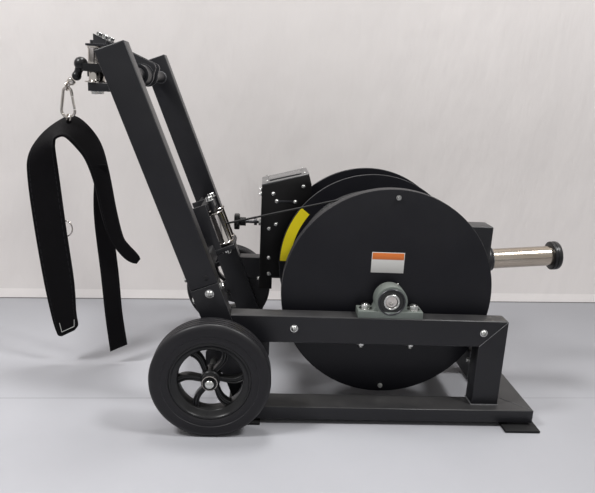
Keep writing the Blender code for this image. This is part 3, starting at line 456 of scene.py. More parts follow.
def weave_group():
    """Height of the over and under of webbing on the piece's UV map."""
    tree, given, out = shader_group("Weave", [("Along", 260), ("Across", 34)], "Height")
    place = split_up(tree, coordinates(tree, "UV"))
    waves = [maths(tree, "SINE", times(tree, place[axis], given[ask], 2 * math.pi))
             for axis, ask in (("X", "Along"), ("Y", "Across"))]
    tree.links.new(times(tree, *waves), out["Height"])


def stitch_group():
    """Two lines of stitches near the edges of a band, on its UV map."""
    tree, given, out = shader_group("Stitches", [("Count", 120), ("Inset", 0.41), ("Width", 0.008)], "Mask")
    place = split_up(tree, coordinates(tree, "UV"))
    side = maths(tree, "ABSOLUTE", maths(tree, "SUBTRACT", place["Y"], 0.5))
    off = maths(tree, "ABSOLUTE", maths(tree, "SUBTRACT", side, given["Inset"]))
    line = maths(tree, "LESS_THAN", off, given["Width"])
    dash = maths(tree, "FRACT", times(tree, place["X"], given["Count"]))
    tree.links.new(times(tree, line, maths(tree, "LESS_THAN", dash, 0.66)), out["Mask"])


def plain_surface(name, specular):
    """A material with its node tree and shader, before anything is linked to them."""
    material = bpy.data.materials.new(name)
    material.use_nodes = True
    shader = material.node_tree.nodes["Principled BSDF"]
    shader.inputs["Specular IOR Level"].default_value = specular
    return material, material.node_tree, shader


def finish(name, colour, rough, metallic=0, grain=(900, 0.1), wear_and_highlight=None, dust_and_sheen=1, mottle=0.25, rings=0,
           drawn_and_reflected=None, specular=0.5, coat=0, spread=0.12):
    """A painted, moulded or bare surface with mottling, grain, rubbed edges that also paint edge highlights,
    and dust that also paints a sheen on faces that look up.

    grain is (scale, strength); the edge wear is (amount, colour underneath), and its lighter edges are
    partly painted edge highlights;
    rings is the count of turned rings in a metre; the drawn streaks are (colour of the streaks, streaks
    along, streaks round), and their colour is partly painted reflections.
    """
    settings = bpy.context.scene.trainer_finishes
    FINISHES[name], tree, shader = plain_surface(name, specular)
    shader.inputs["Metallic"].default_value = metallic
    shader.inputs["Coat Weight"].default_value = coat
    shader.inputs["Coat Roughness"].default_value = 0.12
    base = mix(tree, noise(tree, 22, 7), scaled(colour, 1 - mottle), scaled(colour, 1 + mottle))
    roughness = ramp(tree, noise(tree, 7, 9, 0.7), low=max(rough - spread * 0.6, 0.02), high=rough + spread)
    if rings:
        lines = place_group(tree, "Turned", Rings=rings, Centre_X=(DRUM[0] + SHIFT_X) * MM,
                            Centre_Z=DRUM[2] * MM)
        base = mix(tree, lines, base, scaled(colour, 1.8))
    # Drawn streaks, partly painted reflections: warm streaks laid into the metal's colour
    if drawn_and_reflected:
        streaks_and_reflections = place_group(tree, "Drawn and reflected streaks", Along=drawn_and_reflected[1], Round=drawn_and_reflected[2])
        base = mix(tree, streaks_and_reflections, base, drawn_and_reflected[0])
    # Dust, partly a painted sheen: a lighter grey mixed in where faces look up
    if dust_and_sheen:
        dust_and_sheen_mask = place_group(tree, "Dust and sheen", Amount=dust_and_sheen * settings.dust_and_sheen)
        base = mix(tree, dust_and_sheen_mask, base, DUST_AND_SHEEN_GREY)
        roughness = maths(tree, "ADD", roughness, times(tree, dust_and_sheen_mask, 0.4))
    # Rubbed edges, partly painted edge highlights: a lighter colour along the edges
    if wear_and_highlight:
        wear_and_highlight_mask = place_group(tree, "Edge wear and highlight", Amount=wear_and_highlight[0] * 2 * settings.wear_and_highlight)
        base = mix(tree, wear_and_highlight_mask, base, wear_and_highlight[1])
    tree.links.new(base, shader.inputs["Base Color"])
    tree.links.new(roughness, shader.inputs["Roughness"])
    tree.links.new(place_group(tree, "Grain", Scale=grain[0], Strength=grain[1]), shader.inputs["Normal"])
    return tree, shader


def fabric(name, colour, thread, along, across, count):
    """Woven fabric on the piece's UV map, with two lines of stitches."""
    tree, shader = finish(name, colour, 0.9, grain=(1800, 0.3), dust_and_sheen=0.1, mottle=0.35, specular=0.12)
    stitches = place_group(tree, "Stitches", Count=count)
    base = shader.inputs["Base Color"].links[0].from_socket
    tree.links.new(mix(tree, stitches, base, thread), shader.inputs["Base Color"])
    weave = place_group(tree, "Weave", Along=along, Across=across)
    height = maths(tree, "ADD", weave, times(tree, stitches, 2))
    tree.links.new(bump(tree, height, 0.45, 0.0005), shader.inputs["Normal"])
    shader.inputs["Sheen Weight"].default_value = 0.04
    shader.inputs["Sheen Roughness"].default_value = 0.4


def braided_rope():
    """Rope whose strands show as small round cells."""
    tree, shader = finish("black_rope", (0.011, 0.011, 0.012), 0.72, dust_and_sheen=0.4, specular=0.3)
    cells = add_node(tree, "ShaderNodeTexVoronoi", {"Scale": 620}, {"Vector": coordinates(tree)})
    normal = bump(tree, cells.outputs["Distance"], 0.9, 0.0006, invert=True)
    tree.links.new(normal, shader.inputs["Normal"])
    shader.inputs["Sheen Weight"].default_value = 0.15


class TRAINER_OT_finishes(bpy.types.Operator):
    """Make the shader groups and every finish"""

    bl_idname = "trainer.finishes"
    bl_label = "Finishes"

    def execute(self, context):
        for build in (edge_wear_and_highlight_group, grain_group, dust_and_sheen_group, turned_group, drawn_and_reflection_group, weave_group,
                      stitch_group):
            build()
        chosen = context.scene.trainer_finishes
        # Colour of rubbed edges on the coats, also used as a painted edge highlight
        bare_and_highlight = (0.20, 0.20, 0.21)
        grey = (0.15, 0.15, 0.15)
        # On the frame coat the lighter edges are partly painted edge highlights, and the dust is partly a
        # painted sheen on top faces
        finish("frame_coat", chosen.coat, 0.31, grain=(1500, 0.16), wear_and_highlight=(0.75, bare_and_highlight), dust_and_sheen=0.85,
               specular=0.36)
        finish("box_coat", (0.0042, 0.0038, 0.0042), 0.34, grain=(1500, 0.12), wear_and_highlight=(0.55, bare_and_highlight), dust_and_sheen=0.3,
               specular=0.22)
        finish("disc_coat", chosen.disc, 0.36, grain=(1300, 0.10), wear_and_highlight=(0.8, grey), dust_and_sheen=0.5, mottle=0.2,
               specular=0.25)
        # The coppery patches on chrome and the brown streaks on the polished tube are partly painted
        # reflections
        finish("chrome", (0.72, 0.70, 0.68), 0.09, 1, (300, 0.015), dust_and_sheen=0.2, mottle=0.08,
               drawn_and_reflected=((0.50, 0.44, 0.38), 30, 30), spread=0.08)
        finish("polished_tube", (0.66, 0.61, 0.54), 0.16, 1, (500, 0.03), dust_and_sheen=0.3, mottle=0.10,
               drawn_and_reflected=((0.30, 0.23, 0.16), 5, 150))
        finish("bright_steel", (0.44, 0.44, 0.45), 0.30, 1, (700, 0.05), dust_and_sheen=0.4, rings=1600)
        finish("cast_green", chosen.casting, 0.55, grain=(260, 0.7), wear_and_highlight=(0.8, (0.25, 0.24, 0.22)))
        finish("black_plastic", (0.006, 0.006, 0.007), 0.26, grain=(1100, 0.12), dust_and_sheen=0.4, specular=0.35,
               wear_and_highlight=(0.25, (0.05, 0.05, 0.05)))
        finish("seal", (0.008, 0.009, 0.009), 0.5, grain=(700, 0.2), dust_and_sheen=0.3)
        # On the tyres the lighter worn edges also paint highlights along the shoulders and tread ridges
        finish("tyre_rubber", chosen.tyre, 0.38, grain=(500, 0.26), wear_and_highlight=(0.6, (0.11, 0.11, 0.12)), dust_and_sheen=0.3,
               specular=0.36)
        finish("foot_rubber", (0.006, 0.006, 0.007), 0.60, grain=(700, 0.3), dust_and_sheen=0.2, specular=0.25)
        finish("panel_plastic", (0.085, 0.085, 0.088), 0.28, grain=(900, 0.06), coat=0.3)
        finish("window", (0.050, 0.052, 0.056), 0.12, grain=(300, 0.01), coat=0.5)
        finish("magnet_steel", (0.36, 0.36, 0.38), 0.36, 1, (500, 0.08), dust_and_sheen=0.4)
        finish("zinc", (0.60, 0.60, 0.58), 0.24, 1, (420, 0.10), wear_and_highlight=(0.4, (0.7, 0.7, 0.7)), dust_and_sheen=0.4)
        finish("dark_steel", (0.05, 0.05, 0.055), 0.34, 0.8, (600, 0.1), dust_and_sheen=0.4)
        # On the welds the lighter worn edges also paint bright edge highlights
        finish("weld", (0.045, 0.045, 0.050), 0.35, grain=(700, 0.3), wear_and_highlight=(1.2, (0.42, 0.42, 0.43)))
        finish("plate_white", chosen.white, 0.40, grain=(500, 0.03), mottle=0.04, dust_and_sheen=0.4)
        finish("plate_orange", chosen.orange, 0.40, grain=(500, 0.03), mottle=0.05, dust_and_sheen=0.4)
        finish("plate_yellow", chosen.yellow, 0.38, grain=(500, 0.03), mottle=0.06, dust_and_sheen=0.4)
        finish("thread", (0.60, 0.60, 0.58), 0.7, grain=(1500, 0.2), dust_and_sheen=0)
        fabric("belt_webbing", chosen.webbing, (0.022, 0.022, 0.024), 300, 26, 150)
        fabric("strap_webbing", chosen.webbing, (0.018, 0.018, 0.02), 220, 16, 90)
        braided_rope()
        return {"FINISHED"}


def pick(obj):
    """Select one object alone and make it active."""
    bpy.ops.object.select_all(action="DESELECT")
    obj.select_set(True)
    bpy.context.view_layer.objects.active = obj
    return obj


def start(add, **settings):
    """Add a primitive at the origin, with nothing else selected."""
    bpy.ops.object.select_all(action="DESELECT")
    add(location=(0, 0, 0), **settings)
    return bpy.context.active_object


def edit():
    """Go into edit mode with everything selected."""
    bpy.ops.object.mode_set(mode="EDIT")
    bpy.ops.mesh.select_all(action="SELECT")


def leave():
    """Turn all faces outwards and leave edit mode."""
    bpy.ops.mesh.select_all(action="SELECT")
    bpy.ops.mesh.normals_make_consistent(inside=False)
    bpy.ops.object.mode_set(mode="OBJECT")


def apply_modifier(obj, kind, **settings):
    """Give an object a modifier and apply it."""
    made = obj.modifiers.new(kind, kind)
    for key, value in settings.items():
        setattr(made, key, value)
    pick(obj)
    bpy.ops.object.modifier_apply(modifier=made.name)


def done(obj, name, material, body, smooth=35):
    """Name, shade and paint a finished piece, put its place in its mesh and hang it on its body."""
    obj.name = name
    obj.data.name = name
    obj.data.materials.clear()
    obj.data.materials.append(FINISHES[material])
    pick(obj)
    bpy.ops.object.transform_apply(location=True, rotation=True, scale=True)
    bpy.ops.object.shade_smooth_by_angle(angle=math.radians(smooth))
    if body:
        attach(obj, body)
    return obj


def refine(source, width, segments=3, material=None):
    """A finer copy of a CAD node: merged, cleaned and with rounded edges."""
    pick(frame["nodes"][source])
    bpy.ops.object.duplicate()
    obj = bpy.context.active_object
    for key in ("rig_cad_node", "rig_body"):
        if key in obj:
            del obj[key]
    obj.parent = None
    obj.matrix_world = Matrix.Identity(4)
    edit()
    bpy.ops.mesh.remove_doubles(threshold=MERGE_CAD)
    bpy.ops.mesh.dissolve_limited(angle_limit=FLAT_ANGLE)
    leave()
    if width:
        apply_modifier(obj, "BEVEL", width=width, segments=segments, limit_method="ANGLE",
                       angle_limit=EDGE_ANGLE)
    slot = SLOT_OF_NODE[source]
    done(obj, source + "_skin", material or slot, BODY_OF_NODE[source])
    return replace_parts(obj, source)


def turn_to(obj, origin, axis):
    """Stand an object that was made along Z at a place, along an axis."""
    spin = Vector(UP).rotation_difference(Vector(axis).normalized())
    obj.matrix_world = Matrix.Translation(at(*origin)) @ spin.to_matrix().to_4x4()


def turned(profile, steps=96, ring=True):
    """Turn a profile of (radius, height) about Z; a ring closes on itself, else the ends are capped."""
    obj = start(bpy.ops.mesh.primitive_circle_add, vertices=steps, radius=profile[0][0] * MM,
                fill_type="NOTHING" if ring else "NGON")
    edit()
    bpy.ops.transform.translate(value=(0, 0, profile[0][1] * MM))
    for (r0, h0), (r1, h1) in zip(profile, profile[1:]):
        bpy.ops.mesh.extrude_region_move(TRANSFORM_OT_translate={"value": (0, 0, (h1 - h0) * MM)})
        bpy.ops.transform.resize(value=(r1 / r0, r1 / r0, 1), center_override=(0, 0, 0))
    if ring:
        bpy.ops.mesh.select_all(action="SELECT")
        bpy.ops.mesh.region_to_loop()
        bpy.ops.mesh.bridge_edge_loops()
    leave()
    return obj


def lathe(name, profile, origin, axis, material, body, steps=96, ring=True):
    """A turned piece that stands at a place, along an axis."""
    obj = turned(profile, steps, ring)
    turn_to(obj, origin, axis)
    return done(obj, name, material, body)


def block(name, low, high, material, body, bevel=1, segments=3, lean=0):
    """A box with rounded edges, which may lean about Y."""
    obj = start(bpy.ops.mesh.primitive_cube_add, size=1)
    edit()
    bpy.ops.transform.resize(value=[(b - a) * MM for a, b in zip(low, high)], center_override=(0, 0, 0))
    bpy.ops.mesh.bevel(offset=bevel * MM, segments=segments, affect="EDGES")
    leave()
    middle = [(a + b) / 2 for a, b in zip(low, high)]
    obj.matrix_world = Matrix.Translation(at(*middle)) @ Matrix.Rotation(lean, 4, "Y")
    return done(obj, name, material, body)


def join(parts, name):
    """Make one piece of several."""
    pick(parts[0])
    for part in parts:
        part.select_set(True)
    bpy.ops.object.join()
    parts[0].name = name
    parts[0].data.name = name
    return parts[0]


def copy_shape(key, build, name, origin, axis, body):
    """Model a repeated fastener once, along Z at the origin, and stand a copy of it at a place."""
    if key not in SHAPES:
        model = build()
        SHAPES[key] = model.data.copy()
        bpy.data.objects.remove(model)
    obj = bpy.data.objects.new(name, SHAPES[key].copy())
    bpy.context.scene.collection.objects.link(obj)
    turn_to(obj, origin, axis)
    return done(obj, name, "zinc", body, smooth=28)


def hex_bolt(name, origin, axis, body, across=13, height=6, washer=8.5, stud=0):
    """A hexagon head or nut on its washer, with the thread's end where it shows."""
    corner = across / math.sqrt(3)
    top = height + WASHER_THICK

    def build():
        parts = [turned([(washer * 0.5, 0), (washer, 0), (washer, WASHER_THICK - 0.3),
                         (washer * 0.96, WASHER_THICK), (washer * 0.5, WASHER_THICK)], 32),
                 turned([(corner, WASHER_THICK), (corner, top - 0.8), (corner * 0.9, top)], 6, False)]
        if stud:
            radius = across * 0.31
            thread = [(radius, height)]
            for k in range(int(stud / THREAD_PITCH)):
                crest = top + k * THREAD_PITCH
                thread += [(radius, crest), (radius * 0.9, crest + 0.7)]
            parts.append(turned(thread, 20, False))
        return join(parts, "hex")

    return copy_shape(("hex", across, height, washer, stud), build, name, origin, axis, body)


def button_bolt(name, origin, axis, body, radius=9, height=5):
    """A round head with a hexagon socket on a thin washer."""
    foot = 1.2

    def build():
        rise = [(radius * 1.25, 0), (radius * 1.25, foot - 0.1), (radius, foot)]
        for turn in (math.radians(20), math.radians(40), math.radians(58)):
            rise.append((radius * math.cos(turn), foot + height * math.sin(turn)))
        rise += [(radius * 0.45, foot + height * 0.93), (radius * 0.40, height * 0.35),
                 (radius * 0.1, height * 0.3)]
        return turned(rise, 36, False)

    return copy_shape(("button", radius, height), build, name, origin, axis, body)


def start_line(count):
    """A new curve of straight stretches with a number of points."""
    data = start(bpy.ops.curve.primitive_nurbs_path_add).data
    data.splines.clear()
    spline = data.splines.new("POLY")
    spline.points.add(count - 1)
    return data, spline


def line_to_mesh():
    """Turn the curve into a mesh without doubles and stay in edit mode."""
    bpy.ops.object.convert(target="MESH")
    edit()
    bpy.ops.mesh.remove_doubles(threshold=MERGE_LINE)
    return bpy.context.active_object


def bar_along(name, points, radius, material, body, resolution=4, closed=False, widths=None):
    """A bar, cord or bead along a path, turned into a mesh; widths scale it from point to point."""
    data, spline = start_line(len(points))
    for index, (point, place) in enumerate(zip(spline.points, points)):
        point.co = (*at(*place), 1)
        point.radius = widths[index % len(widths)] if widths else 1
    spline.use_cyclic_u = closed
    data.dimensions = "3D"
    data.bevel_depth = radius
    data.bevel_resolution = resolution
    data.use_fill_caps = not closed
    obj = line_to_mesh()
    leave()
    return done(obj, name, material, body, smooth=50)


def weld_bead(name, corners):
    """A rippled bead of weld round a closed line of corners on the frame."""
    points = []
    for a, b in zip(corners, corners[1:] + corners[:1]):
        steps = max(int((Vector(b) - Vector(a)).length / WELD_STEP), 1)
        points += [tuple(Vector(a).lerp(Vector(b), k / steps)) for k in range(steps)]
    radius = bpy.context.scene.trainer_sizes.weld_radius
    return bar_along(name, points, radius, "weld", "frame", 1, True, widths=WELD_RIPPLE)


def oblong(x0, x1, y0, y1, z):
    """The corners of a level rectangle."""
    return [(x0, y0, z), (x1, y0, z), (x1, y1, z), (x0, y1, z)]


def smooth_line(points, count):
    """Points on a smooth curve through a short list of stations."""
    out = []
    last = len(points) - 1
    for k in range(last):
        stations = (points[max(k - 1, 0)], points[k], points[k + 1], points[min(k + 2, last)])
        for i in range(count):
            t = i / count
            out.append(tuple(0.5 * (2 * b + (c - a) * t + (2 * a - 5 * b + 4 * c - d) * t * t
                                    + (3 * b - a - 3 * c + d) * t ** 3) for a, b, c, d in zip(*stations)))
    out.append(tuple(points[-1]))
    return out


def arc(centre, radius, first, last, count):
    """Points of an arc in the XZ plane; angles are from +X towards +Z."""
    turns = [first + (last - first) * k / count for k in range(count + 1)]
    return [(centre[0] + radius * math.cos(t), centre[1], centre[2] + radius * math.sin(t)) for t in turns]


def round_ring(radius, count, first=0):
    """Points round a circle, as pairs."""
    turns = [first + 2 * math.pi * k / count for k in range(count)]
    return [(radius * math.cos(t), radius * math.sin(t)) for t in turns]


class TRAINER_OT_frame(bpy.types.Operator):
    """Round the frame's tubes and add their welds, plugs, seams and bolts"""

    bl_idname = "trainer.frame"
    bl_label = "Frame tubes and bolts"

    def execute(self, context):
        sizes = context.scene.trainer_sizes
        for name in ("base_front_tube", "base_rear_tube", "rear_cross_tube"):
            refine(name, sizes.tube_rounding, 4)
        for label, side in SIDES:
            for name in ("base_side_", "upper_beam_", "rear_post_", "mast_foot_", "mast_upper_"):
                refine(name + label, sizes.tube_rounding, 4)
            for name in ("foot_pad_front_", "foot_pad_rear_"):
                refine(name + label, sizes.plate_rounding, 3)
        reach = MAST_HALF / math.cos(MAST_TILT)
        weld_z = BASE_TOP + 0.3
        for label, side in SIDES:
            outside = side * TUBE_OUT
            middle = side * TUBE_MIDDLE
            face = (0, side, 0)
            for index, x in enumerate((-34, 378)):
                button_bolt("beam_bolt_%s_%d" % (label, index), (x, outside, 212.8), face, "frame", 6.6, 4.2)
            button_bolt("mast_bolt_" + label, (-213.6, outside, 285), face, "frame", 7.4, 4.4)
            lathe("mast_plug_" + label, [(5, 0), (5, 0.8), (3.5, 1.5)], (-221, outside, 319), face,
                  "black_plastic", "frame", 24, ring=False)
            for index, (s, d) in enumerate(((250, -30), (300, -30), (262, 30))):
                way = [c * (1 if d > 0 else -1) for c in MAST_BACK]
                hex_bolt("seam_bolt_%s_%d" % (label, index), mast(s, d, middle), way, "frame", 12, 5, 7.6)
            for index, x in enumerate((115, 224)):
                hex_bolt("beam_nut_%s_%d" % (label, index), (x, middle, BEAM_LOW), DOWN, "frame", 15, 8,
                         10.5, stud=6)
            y0, y1 = sorted((side * TUBE_IN, outside))
            weld_bead("post_weld_" + label, oblong(POST_FRONT, POST_REAR, y0, y1, weld_z))
            weld_bead("mast_weld_" + label, oblong(MAST_X - reach, MAST_X + reach, y0, y1, weld_z))
            seam = [(428.8, outside, 237.8), (371.5, outside, 180.5)]
            bar_along("beam_mitre_" + label, seam, MITRE_R, "weld", "frame", 2)
            seam = [(502.8, side * 267.8, BASE_TOP), (445.5, side * 210.5, BASE_TOP)]
            bar_along("base_mitre_" + label, seam, MITRE_R, "weld", "frame", 2)
            y = side * (TUBE_IN - 0.8)
            weld_bead("cross_weld_" + label, [(POST_FRONT, y, CROSS_LOW), (396.7, y, CROSS_LOW),
                                              (396.7, y, CROSS_HIGH), (POST_FRONT, y, CROSS_HIGH)])
            hub = mast(HEAD_UP_MAST, 0, y)
            weld_bead("hub_weld_" + label, arc(hub, 14.4, 0, 2 * math.pi, 36)[:-1])
        weld_bead("horn_post_weld", [(397, -30, CROSS_LOW), (397, 30, CROSS_LOW), (397, 30, CROSS_HIGH),
                                     (397, -30, CROSS_HIGH)])
        hex_bolt("cross_tube_bolt", (POST_FRONT, -200, 127), FRONT, "frame", 9, 4, 6.5)
        return {"FINISHED"}


class TRAINER_OT_horn(bpy.types.Operator):
    """Make the polished weight horn, its ribbed cap and its post"""

    bl_idname = "trainer.horn"
    bl_label = "Weight horn"

    def execute(self, context):
        lean = (math.cos(HORN_TILT), 0, math.sin(HORN_TILT))
        refine("horn_pedestal", 2 * context.scene.trainer_sizes.tube_rounding, 4)
        tube = [(21, 12.3), (25, 12.3), (25, 166), (21, 166)]
        horn = lathe("weight_horn_skin", tube, HORN_ROOT, lean, "polished_tube", "frame", 128)
        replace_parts(horn, "weight_horn")
        ribbed = [(24, 166.3), (33.5, 166.3), (35.4, 167.2), (36, 168.8), (36, 172), (34.8, 172.6),
                  (34.8, 174.2), (36, 174.8), (36, 180.5), (35.2, 183.8), (33, 186.4), (30, 187.2),
                  (12, 187.2), (11, 186), (4, 186)]
        cap = lathe("horn_cap_skin", ribbed, HORN_ROOT, lean, "black_plastic", "frame", 96, ring=False)
        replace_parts(cap, "horn_end_cap")
        ring = [(29, 11), (30.5, 12), (29.6, 14.2), (27, 15), (25.3, 14), (25.3, 12)]
        lathe("horn_weld", ring, HORN_ROOT, lean, "weld", "frame", 64)
        return {"FINISHED"}


class TRAINER_OT_drum(bpy.types.Operator):
    """Turn the drum's discs, core and shaft and fit its bearing blocks"""

    bl_idname = "trainer.drum"
    bl_label = "Drum, discs and bearings"

    def execute(self, context):
        profile = [(12.8, -194), (232.6, -194), (233.6, -193.6), (234, -192.6), (234, -169.3),
                   (233, -169), (229.4, -169), (229, -169.4), (229, -189), (12.8, -189)]
        disc = lathe("disc_near_skin", profile, DRUM, FAR, "disc_coat", "drum", 192)
        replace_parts(disc, "drum_flange_near")
        profile = [(12.8, 36.5), (233.2, 36.5), (234, 37.3), (234, 41.7), (233.2, 42.5), (12.8, 42.5)]
        disc = lathe("disc_mid_skin", profile, DRUM, FAR, "disc_coat", "drum", 192)
        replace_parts(disc, "drum_flange_mid")
        profile = [(12.8, 134), (41, 134), (42, 135), (42, 148), (235.2, 148), (236, 148.8),
                   (236, 155.2), (235.2, 156), (12.8, 156)]
        wheel = lathe("flywheel_skin", profile, DRUM, FAR, "disc_coat", "drum", 192)
        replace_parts(wheel, "flywheel")
        profile = [(11, -241), (12.5, -239.5), (12.5, 239.5), (11, 241)]
        shaft = lathe("shaft_skin", profile, DRUM, FAR, "bright_steel", "drum", 64, ring=False)
        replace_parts(shaft, "drum_shaft")
        core = [(30, -188.5), (186, -188.5), (186, -168.7), (CORE_R, -168.7)]
        for k in range(CORE_TURNS):
            y = CORE_Y + k * WIND_PITCH
            core += [(CORE_R, y + 1), (CORE_R, y + 3.6), (CORE_R - 1.8, y + 5)]
        core += [(CORE_R - 0.2, 36.1), (30, 36.1)]
        spool = lathe("spool_skin", core, DRUM, FAR, "black_rope", "drum", 96)
        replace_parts(spool, "spool_core")
        for label, side in SIDES:
            out = (0, side, 0)
            refine("pillow_block_" + label, 0.0012, 3)
            race = [(13, 208), (17.1, 208), (17.1, 245.4), (16.2, 246.2), (14.4, 246.2), (13.8, 245),
                    (13, 245)]
            lathe("bearing_race_" + label, race, DRUM, out, "zinc", "drum", 64)
            end = [(12.4, 240), (12.4, 242), (11.6, 242.8), (2, 242.8), (1, 242.2)]
            lathe("shaft_end_" + label, end, DRUM, out, "chrome", "drum", 48, ring=False)
            seal = [(17.6, 242.6), (25.6, 242.6), (25.6, 244.2), (24.6, 244.8), (17.6, 244.8)]
            lathe("bearing_seal_" + label, seal, DRUM, out, "seal", "frame", 64)
            ring = [(25.8, 242.6), (29.4, 242.6), (29.4, 244.9), (28.6, 245.8), (26.6, 245.8), (25.8, 244.9)]
            lathe("bearing_ring_" + label, ring, DRUM, out, "dark_steel", "frame", 64)
            for index, x in enumerate((-52.5, 52.5)):
                place = (DRUM[0] + x, side * TUBE_MIDDLE, 255.3)
                hex_bolt("block_bolt_%s_%d" % (label, index), place, UP, "frame", 18, 8.5, 13.2, stud=4)
            nipple = [(3.2, 0), (3.2, 2.5), (1.8, 3.2), (2.4, 5), (1.2, 6.5)]
            place = (DRUM[0] + 12, side * TUBE_MIDDLE, DRUM[2] + 31)
            lathe("grease_nipple_" + label, nipple, place, (0.35, 0, 0.94), "zinc", "frame", 20, ring=False)
        for index, (x, z) in enumerate(((177.5, 493), (173, 57))):
            hex_bolt("disc_bolt_%d" % index, (x, NEAR_FACE, z), NEAR, "drum", 8, 3.6, 5.6)
        for index, (x, z) in enumerate(round_ring(30, 4, math.radians(45))):
            place = (DRUM[0] + x, 134, DRUM[2] + z)
            hex_bolt("hub_bolt_%d" % index, place, NEAR, "drum", 10, 5, 7)
        return {"FINISHED"}


class TRAINER_OT_rope(bpy.types.Operator):
    """Lay the rope: wound on the drum, round both pulleys and out through the head"""

    bl_idname = "trainer.rope"
    bl_label = "Rope"

    def execute(self, context):
        radius = context.scene.trainer_sizes.rope_radius
        slope = ROPE_SLOPE
        away = slope + math.pi / 2
        steps = 60
        laid = WIND_R - 0.4
        winding = []
        for k in range(WIND_LOOPS * steps + 1):
            turn = away - 2 * math.pi * k / steps
            y = WIND_Y + WIND_PITCH * (k / steps - WIND_LOOPS / 2)
            winding.append((DRUM[0] + laid * math.cos(turn), y, DRUM[2] + laid * math.sin(turn)))
        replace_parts(bar_along("rope_wound_skin", winding, radius, "black_rope", "drum", 2), "rope_wound")
        touch = (DRUM[0] + LEAVE_R * math.cos(away), WIND_Y, DRUM[2] + LEAVE_R * math.sin(away))
        low = (GUIDE[0] + GUIDE_R * math.sin(slope), GUIDE[2] - GUIDE_R * math.cos(slope))
        entry = (low[0] + 40 * math.cos(slope), 0, low[1] + 40 * math.sin(slope))
        path = [touch, entry] + arc(GUIDE, GUIDE_R, slope - math.pi / 2, MAST_TILT - math.pi, 20)
        path += [mast(s, ROPE_OFF_MAST) for s in range(420, 630, 30)]
        run = bar_along("rope_run_skin", path, radius, "black_rope", "frame", 4)
        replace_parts(run, "rope_run")
        path = [mast(s, ROPE_OFF_MAST) for s in (599, 630, 660, 680, 690, 698, 706, 712)]
        path += arc(HEAD_WHEEL, HEAD_WHEEL_R, MAST_TILT, math.pi / 2, 14)
        path += [(x, 0, HEAD_ROPE_Z) for x in (-445, -470, -498)]
        over = bar_along("rope_head_skin", path, radius, "black_rope", None, 4)
        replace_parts(over, "rope_head")
        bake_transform(over)
        path = [(-429, 0, HEAD_ROPE_Z), (-500, 0, HEAD_ROPE_Z), (-517, 0, HEAD_ROPE_Z + 0.4)]
        tip = bar_along("rope_tip_skin", path, radius - 0.0001, "black_rope", "rope_end", 4)
        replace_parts(tip, "rope_tip")
        return {"FINISHED"}


def pulley_profile(rim, groove):
    """The section of a grooved wheel 14 mm wide."""
    half = [(groove + 0.2, 3), (rim - 0.4, 5.4), (rim, 6.2), (rim - 0.8, 7), (5.2, 7)]
    return [(r, -h) for r, h in reversed(half)] + [(groove, 0)] + half


class TRAINER_OT_guides(bpy.types.Operator):
    """Make the lower pair of rollers, the pulley behind them and their bracket"""

    bl_idname = "trainer.guides"
    bl_label = "Lower rollers and pulley"

    def execute(self, context):
        refine("roller_bracket", context.scene.trainer_sizes.plate_rounding, 3)
        profile = [(5.2, 304), (20.2, 304), (21, 304.8), (21, 306.4), (18.9, 308), (18.5, 309.2),
                   (18.5, 377.8), (18.9, 379), (21, 380.6), (21, 382.2), (20.2, 383), (5.2, 383)]
        for label, side in SIDES:
            y = side * ROLLER_Y
            roller = lathe("low_roller_%s_skin" % label, profile, mast(0, ROLLER_OFF_MAST, y), MAST_UP,
                           "chrome", "low_roller_" + label, 72)
            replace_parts(roller, "lower_roller_" + label)
            hex_bolt("roller_bolt_" + label, mast(412.4, ROLLER_OFF_MAST, y), MAST_UP, "frame", 15.4, 8.4,
                     9.6)
            hex_bolt("roller_nut_" + label, mast(289, ROLLER_OFF_MAST, y), MAST_DOWN, "frame", 15.4, 7.8,
                     9.6, stud=4.5)
        wheel = pulley_profile(24, 17.2)
        pulley = lathe("guide_pulley_skin", wheel, GUIDE, FAR, "black_plastic", "guide_wheel", 72)
        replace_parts(pulley, "guide_pulley")
        return {"FINISHED"}


class TRAINER_OT_head(bpy.types.Operator):
    """Make the tilting head: fork, cross tube, rollers, pulley and guide block"""

    bl_idname = "trainer.head"
    bl_label = "Rope head"

    def execute(self, context):
        refine("head_bracket", context.scene.trainer_sizes.plate_rounding, 3)
        refine("guide_block", 0.001, 3)
        reach = TUBE_IN - 0.3
        tube = lathe("head_tube_skin", [(14, -reach), (14, reach)], mast(HEAD_UP_MAST, 0), FAR,
                     "frame_coat", "frame", 64, ring=False)
        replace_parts(tube, "head_cross_tube")
        profile = [(4.2, 698.4), (19.2, 698.4), (20, 699.2), (20, 701), (11.6, 703), (11, 704),
                   (11, 770.6), (11.6, 771.6), (12.5, 772.4), (12.5, 775.4), (4.2, 775.6)]
        fork_top = Vector((0.3948, 0, 0.9188))
        fall = 0.42969
        for label, side in SIDES:
            y = side * ROLLER_Y
            roller = lathe("top_roller_%s_skin" % label, profile, (HEAD_ROLLER_X, y, 0), UP, "chrome",
                           "top_roller_" + label, 64)
            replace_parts(roller, "head_roller_" + label)
            for index, x in enumerate((-481, -467.5)):
                z = 800.8 - (x + 488) * fall
                hex_bolt("fork_top_bolt_%s_%d" % (label, index), (x, y, z), fork_top, "head", 11.4, 6.4, 6.9)
            hex_bolt("fork_low_nut_" + label, (HEAD_ROLLER_X, y, 680), DOWN, "head", 13.6, 5.2, 8.4)
            place = (HEAD_WHEEL[0], side * 28, HEAD_WHEEL[2])
            hex_bolt("pulley_bolt_" + label, place, (0, side, 0), "head", 12, 5, 8)
        wheel = pulley_profile(21, 15.8)
        pulley = lathe("head_pulley_skin", wheel, HEAD_WHEEL, FAR, "black_plastic", "head_wheel", 64)
        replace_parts(pulley, "head_pulley")
        button_bolt("guide_block_screw", (-512.5, 0, 717), FRONT, "head", 3.6, 2)
        return {"FINISHED"}


